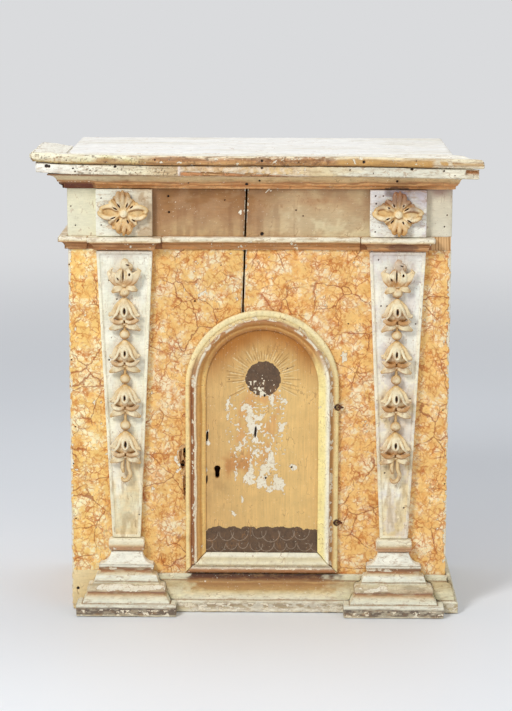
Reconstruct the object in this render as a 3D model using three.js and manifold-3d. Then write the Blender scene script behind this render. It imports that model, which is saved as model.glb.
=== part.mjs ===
// Altar tabernacle: a small painted wooden cupboard with an arched door between two tapering pilasters.
// Millimetres, +Z up, the front faces -Y. While it is built, x = 0 is the middle of the body, y = 0 the front
// face of the front planks and z = 0 the surface that it stands on.

import * as THREE from "three";
import { mergeVertices } from "three/addons/utils/BufferGeometryUtils.js";
import Module from "manifold-3d";

const wasm = await Module();
wasm.setup();

// Overall sizes of the body
const BODY_WIDTH = 600;
const BODY_HEIGHT = 735;
const BODY_DEPTH = 278;

// Gap left where two pieces are glued or nailed face to face
const GLUE_LINE = 0.3;
const MITRE_GAP = 2 * GLUE_LINE;

// How far a cutting tool runs past the face that it cuts
const OVERCUT = 1;

// Boards of the carcass
const FRONT_BOARD = 20;
const SIDE_BOARD = 20;
const BACK_BOARD = 15;
const DECK_BOARD = 18;
const FLOOR_BOARD = 18;
const CLEAT_SIZE = 20;
const CRACK_WIDTH = 2.2;
const CRACK_TOP_X = -19;
const CRACK_FOOT_X = -40;
const BACK_JOINT_X = 30;

// Cornice, from the top down, with how far each moulding stands out
const CROWN_HEIGHT = 15.5;
const CORONA_HEIGHT = 16.5;
const BED_HEIGHT = 23;
const CROWN_OUT = 46;
const CROWN_ROUND = 3;
const CORONA_OUT = 40;
const BED_OUT = 22;
const BED_LIP = 2.5;
const BED_FOOT_OUT = 5;
const BED_FILLET = 4.6;
const BED_STEP = 4;
const CORNICE_LEFT_OUT = 60;
const CORNICE_RETURN_END = 126;

// Frieze, architrave and base moulding
const FRIEZE_HEIGHT = 74;
const ARCHITRAVE_HEIGHT = 22;
const ARCHITRAVE_OUT = 14;
const ARCHITRAVE_FOOT_OUT = 4;
const ARCHITRAVE_FILLET = 9;
const ARCHITRAVE_STEP = 2;
const BASE_HEIGHT = 62;
const BASE_PLINTH = 18;
const BASE_FASCIA = 12.5;
const BASE_STEP = 2;
const BASE_OUT = 14;
const BASE_TOP_OUT = 5;
const BASE_SIDE_OUT = 20;

// Pilasters, their pedestals and the carved husks hung on them
const FACADE_SHIFT = 2.5;
const PILASTER_INSET = 87;
const PILASTER_TOP_WIDTH = 88;
const PILASTER_FOOT_WIDTH = 45;
const PILASTER_THICKNESS = 12;
const PILASTER_BORDER = 5;
const PILASTER_RECESS = 2;
const COLLAR_HEIGHT = 21;
const COLLAR_OUT = 6;
const COLLAR_ROUND = 3;
const PEDESTAL_HEIGHT = 101;
const PEDESTAL_OUT = 57.5;
const PEDESTAL_FRONT_SHARE = 0.53;
const HUSK_COUNT = 5;
const HUSK_DROP = 10;
const HUSK_FOOT_ROOM = 90;
const HUSK_GROWTH = 4;
const HUSK_LINK = 17;
const HUSK_TOP_SHARE = 0.66;
const HUSK_SHARE_STEP = 0.05;
const HUSK_FLATNESS = 0.78;
const BEAD_RADIUS = 7;
const BEAD_GAP = 1;
const PENDANT_LENGTH = 40;
const PENDANT_RADIUS = 4.5;
const ROSETTE_BUTTON = 8;
const ROSETTE_MARGIN = 2;
const ROSETTE_RELIEF = 11;

// Door: a board with a lipped frame moulding that laps over the edge of the doorway
const DOOR_SHIFT = 2.5;
const DOOR_SIDE_MARGIN = 47.5;
const DOOR_HEADROOM = 94;
const DOOR_CLEAR_OF_BASE = 1.5;
const DOOR_BOARD = 18;
const DOOR_LIP = 6;
const DOOR_GAP = 2.5;
const FRAME_WIDTH = 33;
const FRAME_RELIEF = 12;
const DOOR_SWING_ROOM = 4.5;

// Hinges: pairs of linked wire eyes
const HINGE_WIRE = 1.2;
const HINGE_EYE = 4;
const HINGE_CLEAR = 0.8;
const SHANK_CLEAR = 0.5;
const HINGE_BELOW_SPRING = 33.5;
const HINGE_ABOVE_FOOT = 83.5;
const HINGE_SHANK = 20;
const HINGE_TAIL = 12;

// Lock on the back of the door
const LOCK_WIDTH = 68;
const LOCK_BELOW_KEY = 31;
const LOCK_ABOVE_KEY = 35;
const LOCK_DEPTH = 14;
const LOCK_PLATE = 2;
const LOCK_CAP = 1.5;
const KEYHOLE_FROM_EDGE = 50.5;
const KEYHOLE_ABOVE_FOOT = 169.5;
const KEYHOLE_RADIUS = 5;
const KEYHOLE_SLOT = 6.4;
const KEYHOLE_DROP = 16;
const BOLT_HEIGHT = 12;
const BOLT_THICKNESS = 6;
const BOLT_LENGTH = 58;
const BOLT_THROW = 11;
const BOLT_ABOVE_KEY = 11;
const TALON_WIDTH = 8;
const TALON_DEPTH = 4;
const STUD_RADIUS = 2;
const STUD_HEAD = 1;
const STUD_FROM_TAIL = 18;
const KEY_POST_RADIUS = 1.8;
const SPRING_STRIP = 1;
const SPRING_WIDTH = 5;
const SPRING_LENGTH = 38;
const SPRING_FOOT = 4;

// How finely round forms are cut
const CURVE_STEPS = 5;
const ARCH_STEPS = 32;
const TURN_STEPS = 14;
const WIRE_SIDES = 8;

// Levels worked out from the sizes above
const crownBottom = BODY_HEIGHT - CROWN_HEIGHT;
const coronaBottom = crownBottom - CORONA_HEIGHT;
const friezeTop = coronaBottom - BED_HEIGHT;
const friezeBottom = friezeTop - FRIEZE_HEIGHT;
const architraveBottom = friezeBottom - ARCHITRAVE_HEIGHT;
const collarTop = PEDESTAL_HEIGHT + COLLAR_HEIGHT;
const wallTop = BODY_HEIGHT - DECK_BOARD;
const halfBody = BODY_WIDTH / 2;
const pilasterOffset = halfBody - PILASTER_INSET;
const doorCenter = FACADE_SHIFT + DOOR_SHIFT;
const doorHalf = pilasterOffset - PILASTER_TOP_WIDTH / 2 - DOOR_SIDE_MARGIN;
const doorTop = architraveBottom - DOOR_HEADROOM;
const doorBottom = BASE_HEIGHT + DOOR_CLEAR_OF_BASE;
const springLine = doorTop - doorHalf;
const boardHalf = doorHalf - DOOR_LIP;
const boardBottom = doorBottom + DOOR_LIP;
const openingHalf = boardHalf + DOOR_GAP;
const openingBottom = boardBottom - DOOR_GAP;
const floorTop = openingBottom - GLUE_LINE;
const backFace = BODY_DEPTH - BACK_BOARD;
const stapleHalf = HINGE_EYE / 2;
const hingeX = doorHalf + stapleHalf + SHANK_CLEAR;
const hingeY = -(HINGE_EYE + HINGE_WIRE + HINGE_CLEAR);
const hingeHeights = [springLine - HINGE_BELOW_SPRING, doorBottom + HINGE_ABOVE_FOOT];
const keyX = KEYHOLE_FROM_EDGE - doorHalf;
const keyZ = doorBottom + KEYHOLE_ABOVE_FOOT;

// Paint, bare wood and metal
const COLOURS = {
  marblePaint: [0xe6a85c, 0.6, 0],
  creamPaint: [0xe9e0c8, 0.65, 0],
  greyWhitePaint: [0xdcdfd6, 0.65, 0],
  ochreGold: [0xd9ac62, 0.5, 0],
  carvedGold: [0xe2c893, 0.6, 0],
  barePine: [0xb98a58, 0.8, 0],
  rustyIron: [0x5a4034, 0.7, 0.8],
  springSteel: [0x6f6a63, 0.45, 1],
};

function finish(name) {
  const [color, roughness, metalness] = COLOURS[name];
  return new THREE.MeshStandardMaterial({ color, roughness, metalness });
}

function piece(name, geometry, colour) {
  const mesh = new THREE.Mesh(geometry, finish(colour));
  mesh.name = name;
  return mesh;
}

function sideName(side) {
  return side < 0 ? "left" : "right";
}

// Turns a closed geometry into a solid that can be cut and joined.
function toSolid(geometry) {
  const bare = geometry.index ? geometry.toNonIndexed() : geometry.clone();
  bare.deleteAttribute("normal");
  bare.deleteAttribute("uv");
  const merged = mergeVertices(bare, 1e-4);
  const corners = merged.index.array;
  const faces = [];
  for (let i = 0; i < corners.length; i += 3) {
    const [a, b, c] = [corners[i], corners[i + 1], corners[i + 2]];
    if (a !== b && b !== c && c !== a) {
      faces.push(a, b, c);
    }
  }
  const vertProperties = merged.attributes.position.array;
  return new wasm.Manifold(new wasm.Mesh({ numProp: 3, vertProperties, triVerts: new Uint32Array(faces) }));
}

function fromSolid(solid) {
  const mesh = solid.getMesh();
  const points = new Float32Array(mesh.numVert * 3);
  for (let i = 0; i < mesh.numVert; i += 1) {
    points.set(mesh.vertProperties.subarray(i * mesh.numProp, i * mesh.numProp + 3), i * 3);
  }
  const geometry = new THREE.BufferGeometry();
  geometry.setAttribute("position", new THREE.BufferAttribute(points, 3));
  geometry.setIndex(new THREE.BufferAttribute(mesh.triVerts, 1));
  geometry.computeVertexNormals();
  return geometry;
}

function join(...geometries) {
  return fromSolid(geometries.map(toSolid).reduce((whole, next) => whole.add(next)));
}

function cut(geometry, ...tools) {
  return fromSolid(tools.map(toSolid).reduce((rest, tool) => rest.subtract(tool), toSolid(geometry)));
}

// A block between two opposite corners.
function block([x0, y0, z0], [x1, y1, z1]) {
  const geometry = new THREE.BoxGeometry(x1 - x0, y1 - y0, z1 - z0);
  return geometry.translate((x0 + x1) / 2, (y0 + y1) / 2, (z0 + z1) / 2);
}

// An upright panel cut from a board: the outline is drawn in x and z.
function panel(outline, yFront, yBack) {
  const options = { depth: yBack - yFront, bevelEnabled: false, curveSegments: ARCH_STEPS };
  return new THREE.ExtrudeGeometry(outline, options).rotateX(Math.PI / 2).translate(0, yBack, 0);
}

function rod(radius, from, to) {
  const axis = new THREE.Vector3().subVectors(to, from);
  const geometry = new THREE.CylinderGeometry(radius, radius, axis.length(), WIRE_SIDES);
  const upright = new THREE.Vector3(0, 1, 0);
  const turn = new THREE.Quaternion().setFromUnitVectors(upright, axis.clone().normalize());
  const middle = from.clone().addScaledVector(axis, 0.5);
  return geometry.applyQuaternion(turn).translate(middle.x, middle.y, middle.z);
}

function polygon(points) {
  return new THREE.Shape(points.map(([x, y]) => new THREE.Vector2(x, y)));
}

// A round-headed outline, as of the doorway and the door.
function archOutline(half, bottom) {
  const outline = new THREE.Shape();
  outline.moveTo(-half, bottom);
  outline.lineTo(half, bottom);
  outline.absarc(0, springLine, half, 0, Math.PI, false);
  outline.closePath();
  return outline;
}

function signedVolume(points, faces) {
  let volume = 0;
  for (let i = 0; i < faces.length; i += 3) {
    const [a, b, c] = [points[faces[i]], points[faces[i + 1]], points[faces[i + 2]]];
    volume += a.dot(new THREE.Vector3().crossVectors(b, c)) / 6;
  }
  return volume;
}

// Joins rings of points into one closed body. The outline is the flat shape that fills the two end rings.
function loft(outline, rings) {
  const count = outline.length;
  const points = rings.flat();
  const faces = [];
  for (let ring = 0; ring < rings.length - 1; ring += 1) {
    for (let i = 0; i < count; i += 1) {
      const a = ring * count + i;
      const b = ring * count + ((i + 1) % count);
      faces.push(a, b, b + count, a, b + count, a + count);
    }
  }
  const last = (rings.length - 1) * count;
  for (const [a, b, c] of THREE.ShapeUtils.triangulateShape(outline, [])) {
    faces.push(a, c, b, last + a, last + b, last + c);
  }
  if (signedVolume(points, faces) < 0) {
    faces.reverse();
  }
  const geometry = new THREE.BufferGeometry().setFromPoints(points);
  geometry.setIndex(faces);
  geometry.computeVertexNormals();
  return geometry;
}

// Closes a moulding's face, given from its foot up, with a flat back one glue line from what it is fixed to.
function closeSection(face) {
  const foot = face[0][1];
  const head = face[face.length - 1][1];
  const section = [...face, [GLUE_LINE, head], [GLUE_LINE, foot]];
  const outline = section.map(([out, up]) => new THREE.Vector2(out, up));
  return THREE.ShapeUtils.isClockWise(outline) ? outline.reverse() : outline;
}

// A straight moulding along x. Each end is a function of the section's point, so that it can be mitred.
function straightRun(face, startAt, endAt) {
  const outline = closeSection(face);
  const ring = (placeAt) => outline.map((point) => new THREE.Vector3(placeAt(point), -point.x, point.y));
  return loft(outline, [ring(startAt), ring(endAt)]);
}

// A moulding that turns round the front and both sides of a block on the wall.
function turnedRun(face, width, depth, frontShare = 1) {
  const corners = [[-1, 0], [1, 0], [1, 1], [-1, 1]];
  const outline = corners.map(([x, y]) => new THREE.Vector2(x, y));
  const rings = face.map(([out, up]) =>
    corners.map(([side, front]) => {
      const y = front ? -(depth + out * frontShare) : -GLUE_LINE;
      return new THREE.Vector3(side * (width / 2 + out), y, up);
    }),
  );
  return loft(outline, rings);
}

// A quarter curve from one point of a face to the next. It leaves the first point upright or level.
function quarterCurve([out0, up0], [out1, up1], startsUpright) {
  return Array.from({ length: CURVE_STEPS + 1 }, (_, step) => {
    const angle = (step / CURVE_STEPS) * (Math.PI / 2);
    const late = 1 - Math.cos(angle);
    const early = Math.sin(angle);
    const outShare = startsUpright ? late : early;
    const upShare = startsUpright ? early : late;
    return [out0 + (out1 - out0) * outShare, up0 + (up1 - up0) * upShare];
  });
}

function widened(face, share) {
  return face.map(([out, up]) => [out * share, up]);
}

// Faces of the mouldings, each from its foot up
function crownFace() {
  const foot = crownBottom + GLUE_LINE;
  return [
    [CROWN_OUT - CROWN_ROUND, foot],
    [CROWN_OUT, foot + CROWN_ROUND],
    [CROWN_OUT, BODY_HEIGHT - CROWN_ROUND],
    [CROWN_OUT - CROWN_ROUND, BODY_HEIGHT],
  ];
}

function coronaFace() {
  return [
    [CORONA_OUT, coronaBottom + GLUE_LINE],
    [CORONA_OUT, crownBottom],
  ];
}

function bedFace() {
  const foot = friezeTop + GLUE_LINE;
  const secondFillet = foot + 1.4 * BED_FILLET;
  const roundFoot = foot + 2.2 * BED_FILLET;
  return [
    [BED_FOOT_OUT, foot],
    [BED_FOOT_OUT, foot + BED_FILLET],
    [BED_FOOT_OUT + BED_STEP, secondFillet],
    [BED_FOOT_OUT + BED_STEP, roundFoot],
    ...quarterCurve([BED_FOOT_OUT + 1.5 * BED_STEP, roundFoot], [BED_OUT, coronaBottom - BED_LIP], true),
    [BED_OUT, coronaBottom],
  ];
}

function architraveFace() {
  const foot = architraveBottom + GLUE_LINE;
  const filletFoot = friezeBottom - ARCHITRAVE_FILLET;
  return [
    [ARCHITRAVE_FOOT_OUT, foot],
    ...quarterCurve(
      [ARCHITRAVE_FOOT_OUT, foot + ARCHITRAVE_STEP],
      [ARCHITRAVE_OUT - ARCHITRAVE_STEP, filletFoot],
      true,
    ),
    [ARCHITRAVE_OUT, filletFoot],
    [ARCHITRAVE_OUT, friezeBottom],
  ];
}

function baseFace() {
  const fasciaFoot = BASE_HEIGHT - BASE_FASCIA;
  return [
    [BASE_OUT, 0],
    [BASE_OUT, BASE_PLINTH],
    [BASE_OUT - BASE_STEP, BASE_PLINTH + BASE_STEP],
    [BASE_TOP_OUT + BASE_STEP, fasciaFoot - BASE_STEP],
    [BASE_TOP_OUT, fasciaFoot],
    [BASE_TOP_OUT, BASE_HEIGHT],
  ];
}

function collarFace() {
  const foot = PEDESTAL_HEIGHT + GLUE_LINE;
  return [
    [COLLAR_OUT - COLLAR_ROUND, foot],
    [COLLAR_OUT, foot + COLLAR_ROUND],
    [COLLAR_OUT, collarTop - COLLAR_ROUND],
    [COLLAR_OUT - COLLAR_ROUND, collarTop],
  ];
}

// The pedestal steps in from its plinth to the neck: heights are shares of its own height.
function pedestalFace() {
  const level = (share) => share * PEDESTAL_HEIGHT;
  const reach = (share) => share * PEDESTAL_OUT;
  return [
    [reach(1), 0],
    [reach(1), level(0.198)],
    [reach(0.835), level(0.198)],
    [reach(0.73), level(0.317)],
    [reach(0.66), level(0.327)],
    [reach(0.705), level(0.366)],
    [reach(0.705), level(0.446)],
    [reach(0.66), level(0.485)],
    [reach(0.54), level(0.495)],
    [reach(0.445), level(0.644)],
    [reach(0.345), level(0.653)],
    [reach(0.31), level(0.693)],
    [reach(0.385), level(0.723)],
    [reach(0.385), level(0.802)],
    ...quarterCurve([reach(0.33), level(0.812)], [reach(0.05), level(1)], false),
  ];
}

// Face of the door's frame moulding: relief over the board, and the way in from the outer edge.
function doorFrameFace() {
  return [
    [FRAME_RELIEF * 0.5, 0],
    [FRAME_RELIEF * 0.68, FRAME_WIDTH * 0.05],
    [FRAME_RELIEF * 0.68, FRAME_WIDTH * 0.26],
    [FRAME_RELIEF * 0.42, FRAME_WIDTH * 0.3],
    [FRAME_RELIEF * 0.58, FRAME_WIDTH * 0.36],
    [FRAME_RELIEF, FRAME_WIDTH * 0.43],
    [FRAME_RELIEF, FRAME_WIDTH * 0.54],
    [FRAME_RELIEF * 0.8, FRAME_WIDTH * 0.64],
    [FRAME_RELIEF * 0.42, FRAME_WIDTH * 0.78],
    [FRAME_RELIEF * 0.25, FRAME_WIDTH * 0.91],
    [FRAME_RELIEF * 0.2, FRAME_WIDTH],
  ];
}

// Carcass
function hingeHole(height) {
  const side = stapleHalf + GLUE_LINE;
  const rise = HINGE_WIRE + GLUE_LINE;
  const x = doorCenter + hingeX;
  return block([x - side, -OVERCUT, height - rise], [x + side, FRONT_BOARD + OVERCUT, height + rise]);
}

function frontPlanks() {
  const doorway = panel(archOutline(openingHalf, openingBottom), -OVERCUT, FRONT_BOARD + OVERCUT);
  doorway.translate(doorCenter, 0, 0);
  const outline = (side) => {
    const edge = side * halfBody;
    const crackTop = CRACK_TOP_X + (side * CRACK_WIDTH) / 2;
    const crackFoot = CRACK_FOOT_X + (side * CRACK_WIDTH) / 2;
    const top = wallTop - GLUE_LINE;
    return polygon([[edge, 0], [crackFoot, 0], [crackTop, top], [edge, top]]);
  };
  const left = cut(panel(outline(-1), 0, FRONT_BOARD), doorway);
  const holes = hingeHeights.map(hingeHole);
  const right = cut(panel(outline(1), 0, FRONT_BOARD), doorway, ...holes);
  return [
    piece("front_plank_left", left, "marblePaint"),
    piece("front_plank_right", right, "marblePaint"),
  ];
}

function sideBoards() {
  return [-1, 1].map((side) => {
    const [inner, outer] = [halfBody - SIDE_BOARD, halfBody];
    const [x0, x1] = side < 0 ? [-outer, -inner] : [inner, outer];
    const board = block([x0, FRONT_BOARD + GLUE_LINE, 0], [x1, BODY_DEPTH, wallTop - GLUE_LINE]);
    return piece(`side_board_${sideName(side)}`, board, "barePine");
  });
}

function backPlanks() {
  const reach = halfBody - SIDE_BOARD - GLUE_LINE;
  const top = wallTop - GLUE_LINE;
  const left = block([-reach, backFace, 0], [BACK_JOINT_X - GLUE_LINE, BODY_DEPTH, top]);
  const right = block([BACK_JOINT_X, backFace, 0], [reach, BODY_DEPTH, top]);
  return [piece("back_plank_left", left, "barePine"), piece("back_plank_right", right, "barePine")];
}

function deckBoard() {
  const board = block([-halfBody, 0, wallTop], [halfBody, BODY_DEPTH, BODY_HEIGHT]);
  return piece("deck_board", board, "creamPaint");
}

function floorBoard() {
  const reach = halfBody - SIDE_BOARD - GLUE_LINE;
  const front = FRONT_BOARD + GLUE_LINE;
  const board = block([-reach, front, floorTop - FLOOR_BOARD], [reach, backFace - GLUE_LINE, floorTop]);
  return piece("floor_board", board, "barePine");
}

function floorCleats() {
  const wall = halfBody - SIDE_BOARD - GLUE_LINE;
  const top = floorTop - FLOOR_BOARD - GLUE_LINE;
  return [-1, 1].map((side) => {
    const [x0, x1] = side < 0 ? [-wall, CLEAT_SIZE - wall] : [wall - CLEAT_SIZE, wall];
    const front = FRONT_BOARD + GLUE_LINE;
    const cleat = block([x0, front, top - CLEAT_SIZE], [x1, backFace - GLUE_LINE, top]);
    return piece(`floor_cleat_${sideName(side)}`, cleat, "barePine");
  });
}

// Cornice: three mouldings across the front, mitred at both ends, and their returns on the left side.
// The right side has lost its returns, so the front mouldings show their bare mitres there.
function cornice() {
  const leftShare = CORNICE_LEFT_OUT / CROWN_OUT;
  const layers = [
    ["crown", crownFace(), "ochreGold"],
    ["corona", coronaFace(), "creamPaint"],
    ["bed", bedFace(), "ochreGold"],
  ];
  return layers.flatMap(([name, face, colour]) => {
    const leftMitre = (point) => -halfBody - point.x * leftShare;
    const rightMitre = (point) => halfBody + point.x;
    const front = straightRun(face, leftMitre, rightMitre);
    const side = straightRun(
      widened(face, leftShare),
      () => -CORNICE_RETURN_END,
      (point) => point.x / leftShare - MITRE_GAP,
    );
    side.rotateZ(-Math.PI / 2).translate(-halfBody, 0, 0);
    return [piece(`cornice_${name}_front`, front, colour), piece(`cornice_${name}_left`, side, colour)];
  });
}

// Architrave between and beside the blocks over the pilasters. The right bay has lost its piece.
function architrave() {
  const face = architraveFace();
  const capHalf = PILASTER_TOP_WIDTH / 2 + ARCHITRAVE_OUT + GLUE_LINE;
  const [leftCap, rightCap] = [FACADE_SHIFT - pilasterOffset, FACADE_SHIFT + pilasterOffset];
  const center = straightRun(face, () => leftCap + capHalf, () => rightCap - capHalf);
  const bay = straightRun(face, (point) => -halfBody - point.x, () => leftCap - capHalf);
  const side = straightRun(face, () => -BODY_DEPTH, (point) => point.x - MITRE_GAP);
  side.rotateZ(-Math.PI / 2).translate(-halfBody, 0, 0);
  return [
    piece("architrave_center", center, "creamPaint"),
    piece("architrave_bay_left", bay, "creamPaint"),
    piece("architrave_side_left", side, "creamPaint"),
  ];
}

// Base moulding: the left bay and the left side have lost theirs, and the bare boards show.
function baseMouldings() {
  const face = baseFace();
  const sideShare = BASE_SIDE_OUT / BASE_OUT;
  const plinthHalf = PILASTER_FOOT_WIDTH / 2 + PEDESTAL_OUT + GLUE_LINE;
  const [leftFoot, rightFoot] = [FACADE_SHIFT - pilasterOffset, FACADE_SHIFT + pilasterOffset];
  const center = straightRun(face, () => leftFoot + plinthHalf, () => rightFoot - plinthHalf);
  const bay = straightRun(face, () => rightFoot + plinthHalf, (point) => halfBody + point.x * sideShare);
  const side = straightRun(
    widened(face, sideShare),
    (point) => MITRE_GAP - point.x / sideShare,
    () => BODY_DEPTH,
  );
  side.rotateZ(Math.PI / 2).translate(halfBody, 0, 0);
  return [
    piece("base_moulding_center", center, "creamPaint"),
    piece("base_moulding_bay_right", bay, "creamPaint"),
    piece("base_moulding_side_right", side, "creamPaint"),
  ];
}

// Pilaster order: everything here is drawn about the pilaster's own middle line.
function pilaster(side) {
  const foot = collarTop + GLUE_LINE;
  const head = architraveBottom;
  const tapered = (border, bottom, top) => {
    const [footHalf, headHalf] = [PILASTER_FOOT_WIDTH / 2 - border, PILASTER_TOP_WIDTH / 2 - border];
    return polygon([[-footHalf, bottom], [footHalf, bottom], [headHalf, top], [-headHalf, top]]);
  };
  const board = panel(tapered(0, foot, head), -PILASTER_THICKNESS, -GLUE_LINE);
  const recessFace = PILASTER_RECESS - PILASTER_THICKNESS;
  const outline = tapered(PILASTER_BORDER, foot + PILASTER_BORDER, head - PILASTER_BORDER);
  const recess = panel(outline, -PILASTER_THICKNESS - OVERCUT, recessFace);
  return piece(`pilaster_${sideName(side)}`, cut(board, recess), "greyWhitePaint");
}

// What stands on the front of a board keeps only its half in front of the given face.
function halfRelief(geometry, face) {
  const big = 4 * PILASTER_TOP_WIDTH;
  return cut(geometry, block([-big, face, -big], [big, face + big, big]));
}

// One husk, drawn with its top at z = 0: a bell of leaves and the bead hung under it. The outline's points
// are shares of the bell's radius and height.
function huskBell(height, radius) {
  const outline = [
    [0, -0.92],
    [0.5, -1],
    [1, -0.94],
    [0.92, -0.86],
    [0.62, -0.7],
    [0.46, -0.45],
    [0.38, -0.18],
    [0.2, -0.02],
    [0, 0],
  ];
  const points = outline.map(([reach, drop]) => new THREE.Vector2(reach * radius, drop * height));
  return new THREE.LatheGeometry(points, TURN_STEPS).rotateX(Math.PI / 2);
}

// The ball under a husk hangs on a short neck, just above the top of the next husk.
function bead(height, pitch) {
  const middle = BEAD_GAP + BEAD_RADIUS - pitch;
  const ball = new THREE.SphereGeometry(BEAD_RADIUS, 10, 7).translate(0, 0, middle);
  const neckTop = new THREE.Vector3(0, 0, -height * 0.7);
  const neckFoot = new THREE.Vector3(0, 0, middle);
  const neck = rod(BEAD_RADIUS / 2, neckTop, neckFoot);
  return join(ball, neck);
}

// The last husk ends in a stalk that curls up to one side.
function pendant(height) {
  const start = -height * 0.8;
  const end = -height - PENDANT_LENGTH;
  const curlRadius = PENDANT_LENGTH / 5;
  const lowest = end + curlRadius + PENDANT_RADIUS;
  const path = new THREE.CatmullRomCurve3([
    new THREE.Vector3(0, 0, start),
    new THREE.Vector3(1, 0, (start + lowest) / 2),
    new THREE.Vector3(-curlRadius / 2, 0, lowest),
    new THREE.Vector3(curlRadius / 2, 0, lowest - curlRadius + 1),
    new THREE.Vector3(curlRadius * 1.3, 0, lowest + 1),
  ]);
  const section = new THREE.Shape().absarc(0, 0, PENDANT_RADIUS, 0, 2 * Math.PI, false);
  return new THREE.ExtrudeGeometry(section, {
    steps: 2 * CURVE_STEPS,
    curveSegments: WIRE_SIDES / 2,
    bevelEnabled: false,
    extrudePath: path,
  });
}

// Half the width of the pilaster's sunk panel at a height above the floor.
function panelHalf(height) {
  const share = (height - collarTop) / (architraveBottom - collarTop);
  const half = PILASTER_FOOT_WIDTH / 2 + (share * (PILASTER_TOP_WIDTH - PILASTER_FOOT_WIDTH)) / 2;
  return half - PILASTER_BORDER;
}

function husks(side) {
  const pilasterHeight = architraveBottom - collarTop;
  const chain = pilasterHeight - HUSK_DROP - HUSK_FOOT_ROOM;
  const growthSteps = ((HUSK_COUNT - 1) * (HUSK_COUNT - 2)) / 2;
  const firstPitch = (chain - HUSK_GROWTH * growthSteps + HUSK_LINK - PENDANT_LENGTH) / HUSK_COUNT;
  const height = firstPitch - HUSK_LINK;
  return Array.from({ length: HUSK_COUNT }, (_, index) => {
    const fallen = index * firstPitch + (HUSK_GROWTH * index * (index - 1)) / 2;
    const top = architraveBottom - HUSK_DROP - fallen;
    const radius = panelHalf(top - height) * (HUSK_TOP_SHARE + HUSK_SHARE_STEP * index);
    const pitch = firstPitch + HUSK_GROWTH * index;
    const tail = index === HUSK_COUNT - 1 ? pendant(height) : bead(height, pitch);
    const whole = join(huskBell(height, radius), tail).scale(1, HUSK_FLATNESS, 1);
    const mesh = piece(`husk_${sideName(side)}_${index + 1}`, halfRelief(whole, 0), "carvedGold");
    const face = PILASTER_RECESS - PILASTER_THICKNESS - GLUE_LINE;
    mesh.position.set(0, face, top);
    return mesh;
  });
}

// A rosette of four broad petals and four small leaves round a button, drawn about its centre.
function rosette(side) {
  const reach = FRIEZE_HEIGHT / 2 - ROSETTE_MARGIN;
  const petal = (angle, length, width) => {
    const leaf = new THREE.SphereGeometry(1, 10, 8).scale(length / 2, ROSETTE_RELIEF * 0.75, width / 2);
    return leaf.translate(length / 2, 0, 0).rotateY(angle);
  };
  const petals = [0, 1, 2, 3].flatMap((quarter) => {
    const angle = (quarter * Math.PI) / 2;
    return [
      petal(angle, reach, reach * 0.55),
      petal(angle + Math.PI / 4, reach * 0.72, reach * 0.36),
    ];
  });
  const button = new THREE.SphereGeometry(ROSETTE_BUTTON, 10, 8).scale(1, ROSETTE_RELIEF / ROSETTE_BUTTON, 1);
  const mesh = piece(`rosette_${sideName(side)}`, halfRelief(join(button, ...petals), 0), "carvedGold");
  mesh.position.set(0, -PILASTER_THICKNESS - GLUE_LINE, (friezeTop + friezeBottom) / 2);
  return mesh;
}

function friezeBlock(side) {
  const half = PILASTER_TOP_WIDTH / 2;
  const bottom = friezeBottom + GLUE_LINE;
  const slab = block([-half, -PILASTER_THICKNESS, bottom], [half, -GLUE_LINE, friezeTop]);
  return piece(`frieze_block_${sideName(side)}`, slab, "greyWhitePaint");
}

function pilasterOrder(side) {
  const order = new THREE.Group();
  const name = sideName(side);
  const cap = turnedRun(architraveFace(), PILASTER_TOP_WIDTH, PILASTER_THICKNESS);
  const collar = turnedRun(collarFace(), PILASTER_FOOT_WIDTH, PILASTER_THICKNESS);
  const pedestal = turnedRun(pedestalFace(), PILASTER_FOOT_WIDTH, PILASTER_THICKNESS, PEDESTAL_FRONT_SHARE);
  order.add(
    friezeBlock(side),
    rosette(side),
    piece(`architrave_cap_${name}`, cap, "creamPaint"),
    pilaster(side),
    ...husks(side),
    piece(`pilaster_collar_${name}`, collar, "creamPaint"),
    piece(`pedestal_${name}`, pedestal, "creamPaint"),
  );
  order.position.x = FACADE_SHIFT + side * pilasterOffset;
  return order;
}

// Hinge eyes. The staple's eye lies flat and its shank runs back through the front plank, where it is
// clenched. The door's eye stands upright, linked through it, and its shank slants back into the door.
function stapleShape(height) {
  const ring = new THREE.TorusGeometry(HINGE_EYE, HINGE_WIRE, WIRE_SIDES, TURN_STEPS);
  const tailFront = FRONT_BOARD + GLUE_LINE - hingeY;
  const tailBack = tailFront + 2 * HINGE_WIRE;
  const shank = block([-stapleHalf, HINGE_EYE, -HINGE_WIRE], [stapleHalf, tailBack, HINGE_WIRE]);
  const tail = block([-HINGE_WIRE, tailFront, -HINGE_TAIL], [HINGE_WIRE, tailBack, HINGE_TAIL]);
  return join(ring, shank, tail).translate(doorCenter + hingeX, hingeY, height);
}

function eyeShank(clearance) {
  const reach = HINGE_SHANK + clearance;
  const flat = HINGE_WIRE + clearance;
  const tall = 2 * HINGE_WIRE + clearance;
  const bar = block([-reach, -flat, -tall], [HINGE_WIRE, flat, tall]);
  return bar.rotateZ(-Math.PI / 4).translate(-2 * HINGE_EYE, 0, 0);
}

function doorEye(name, height) {
  const ring = new THREE.TorusGeometry(HINGE_EYE, HINGE_WIRE, WIRE_SIDES, TURN_STEPS);
  ring.rotateX(Math.PI / 2).translate(-HINGE_EYE, 0, 0);
  const mesh = piece(name, join(ring, eyeShank(0)), "rustyIron");
  mesh.position.set(hingeX, hingeY, height);
  return mesh;
}

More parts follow.
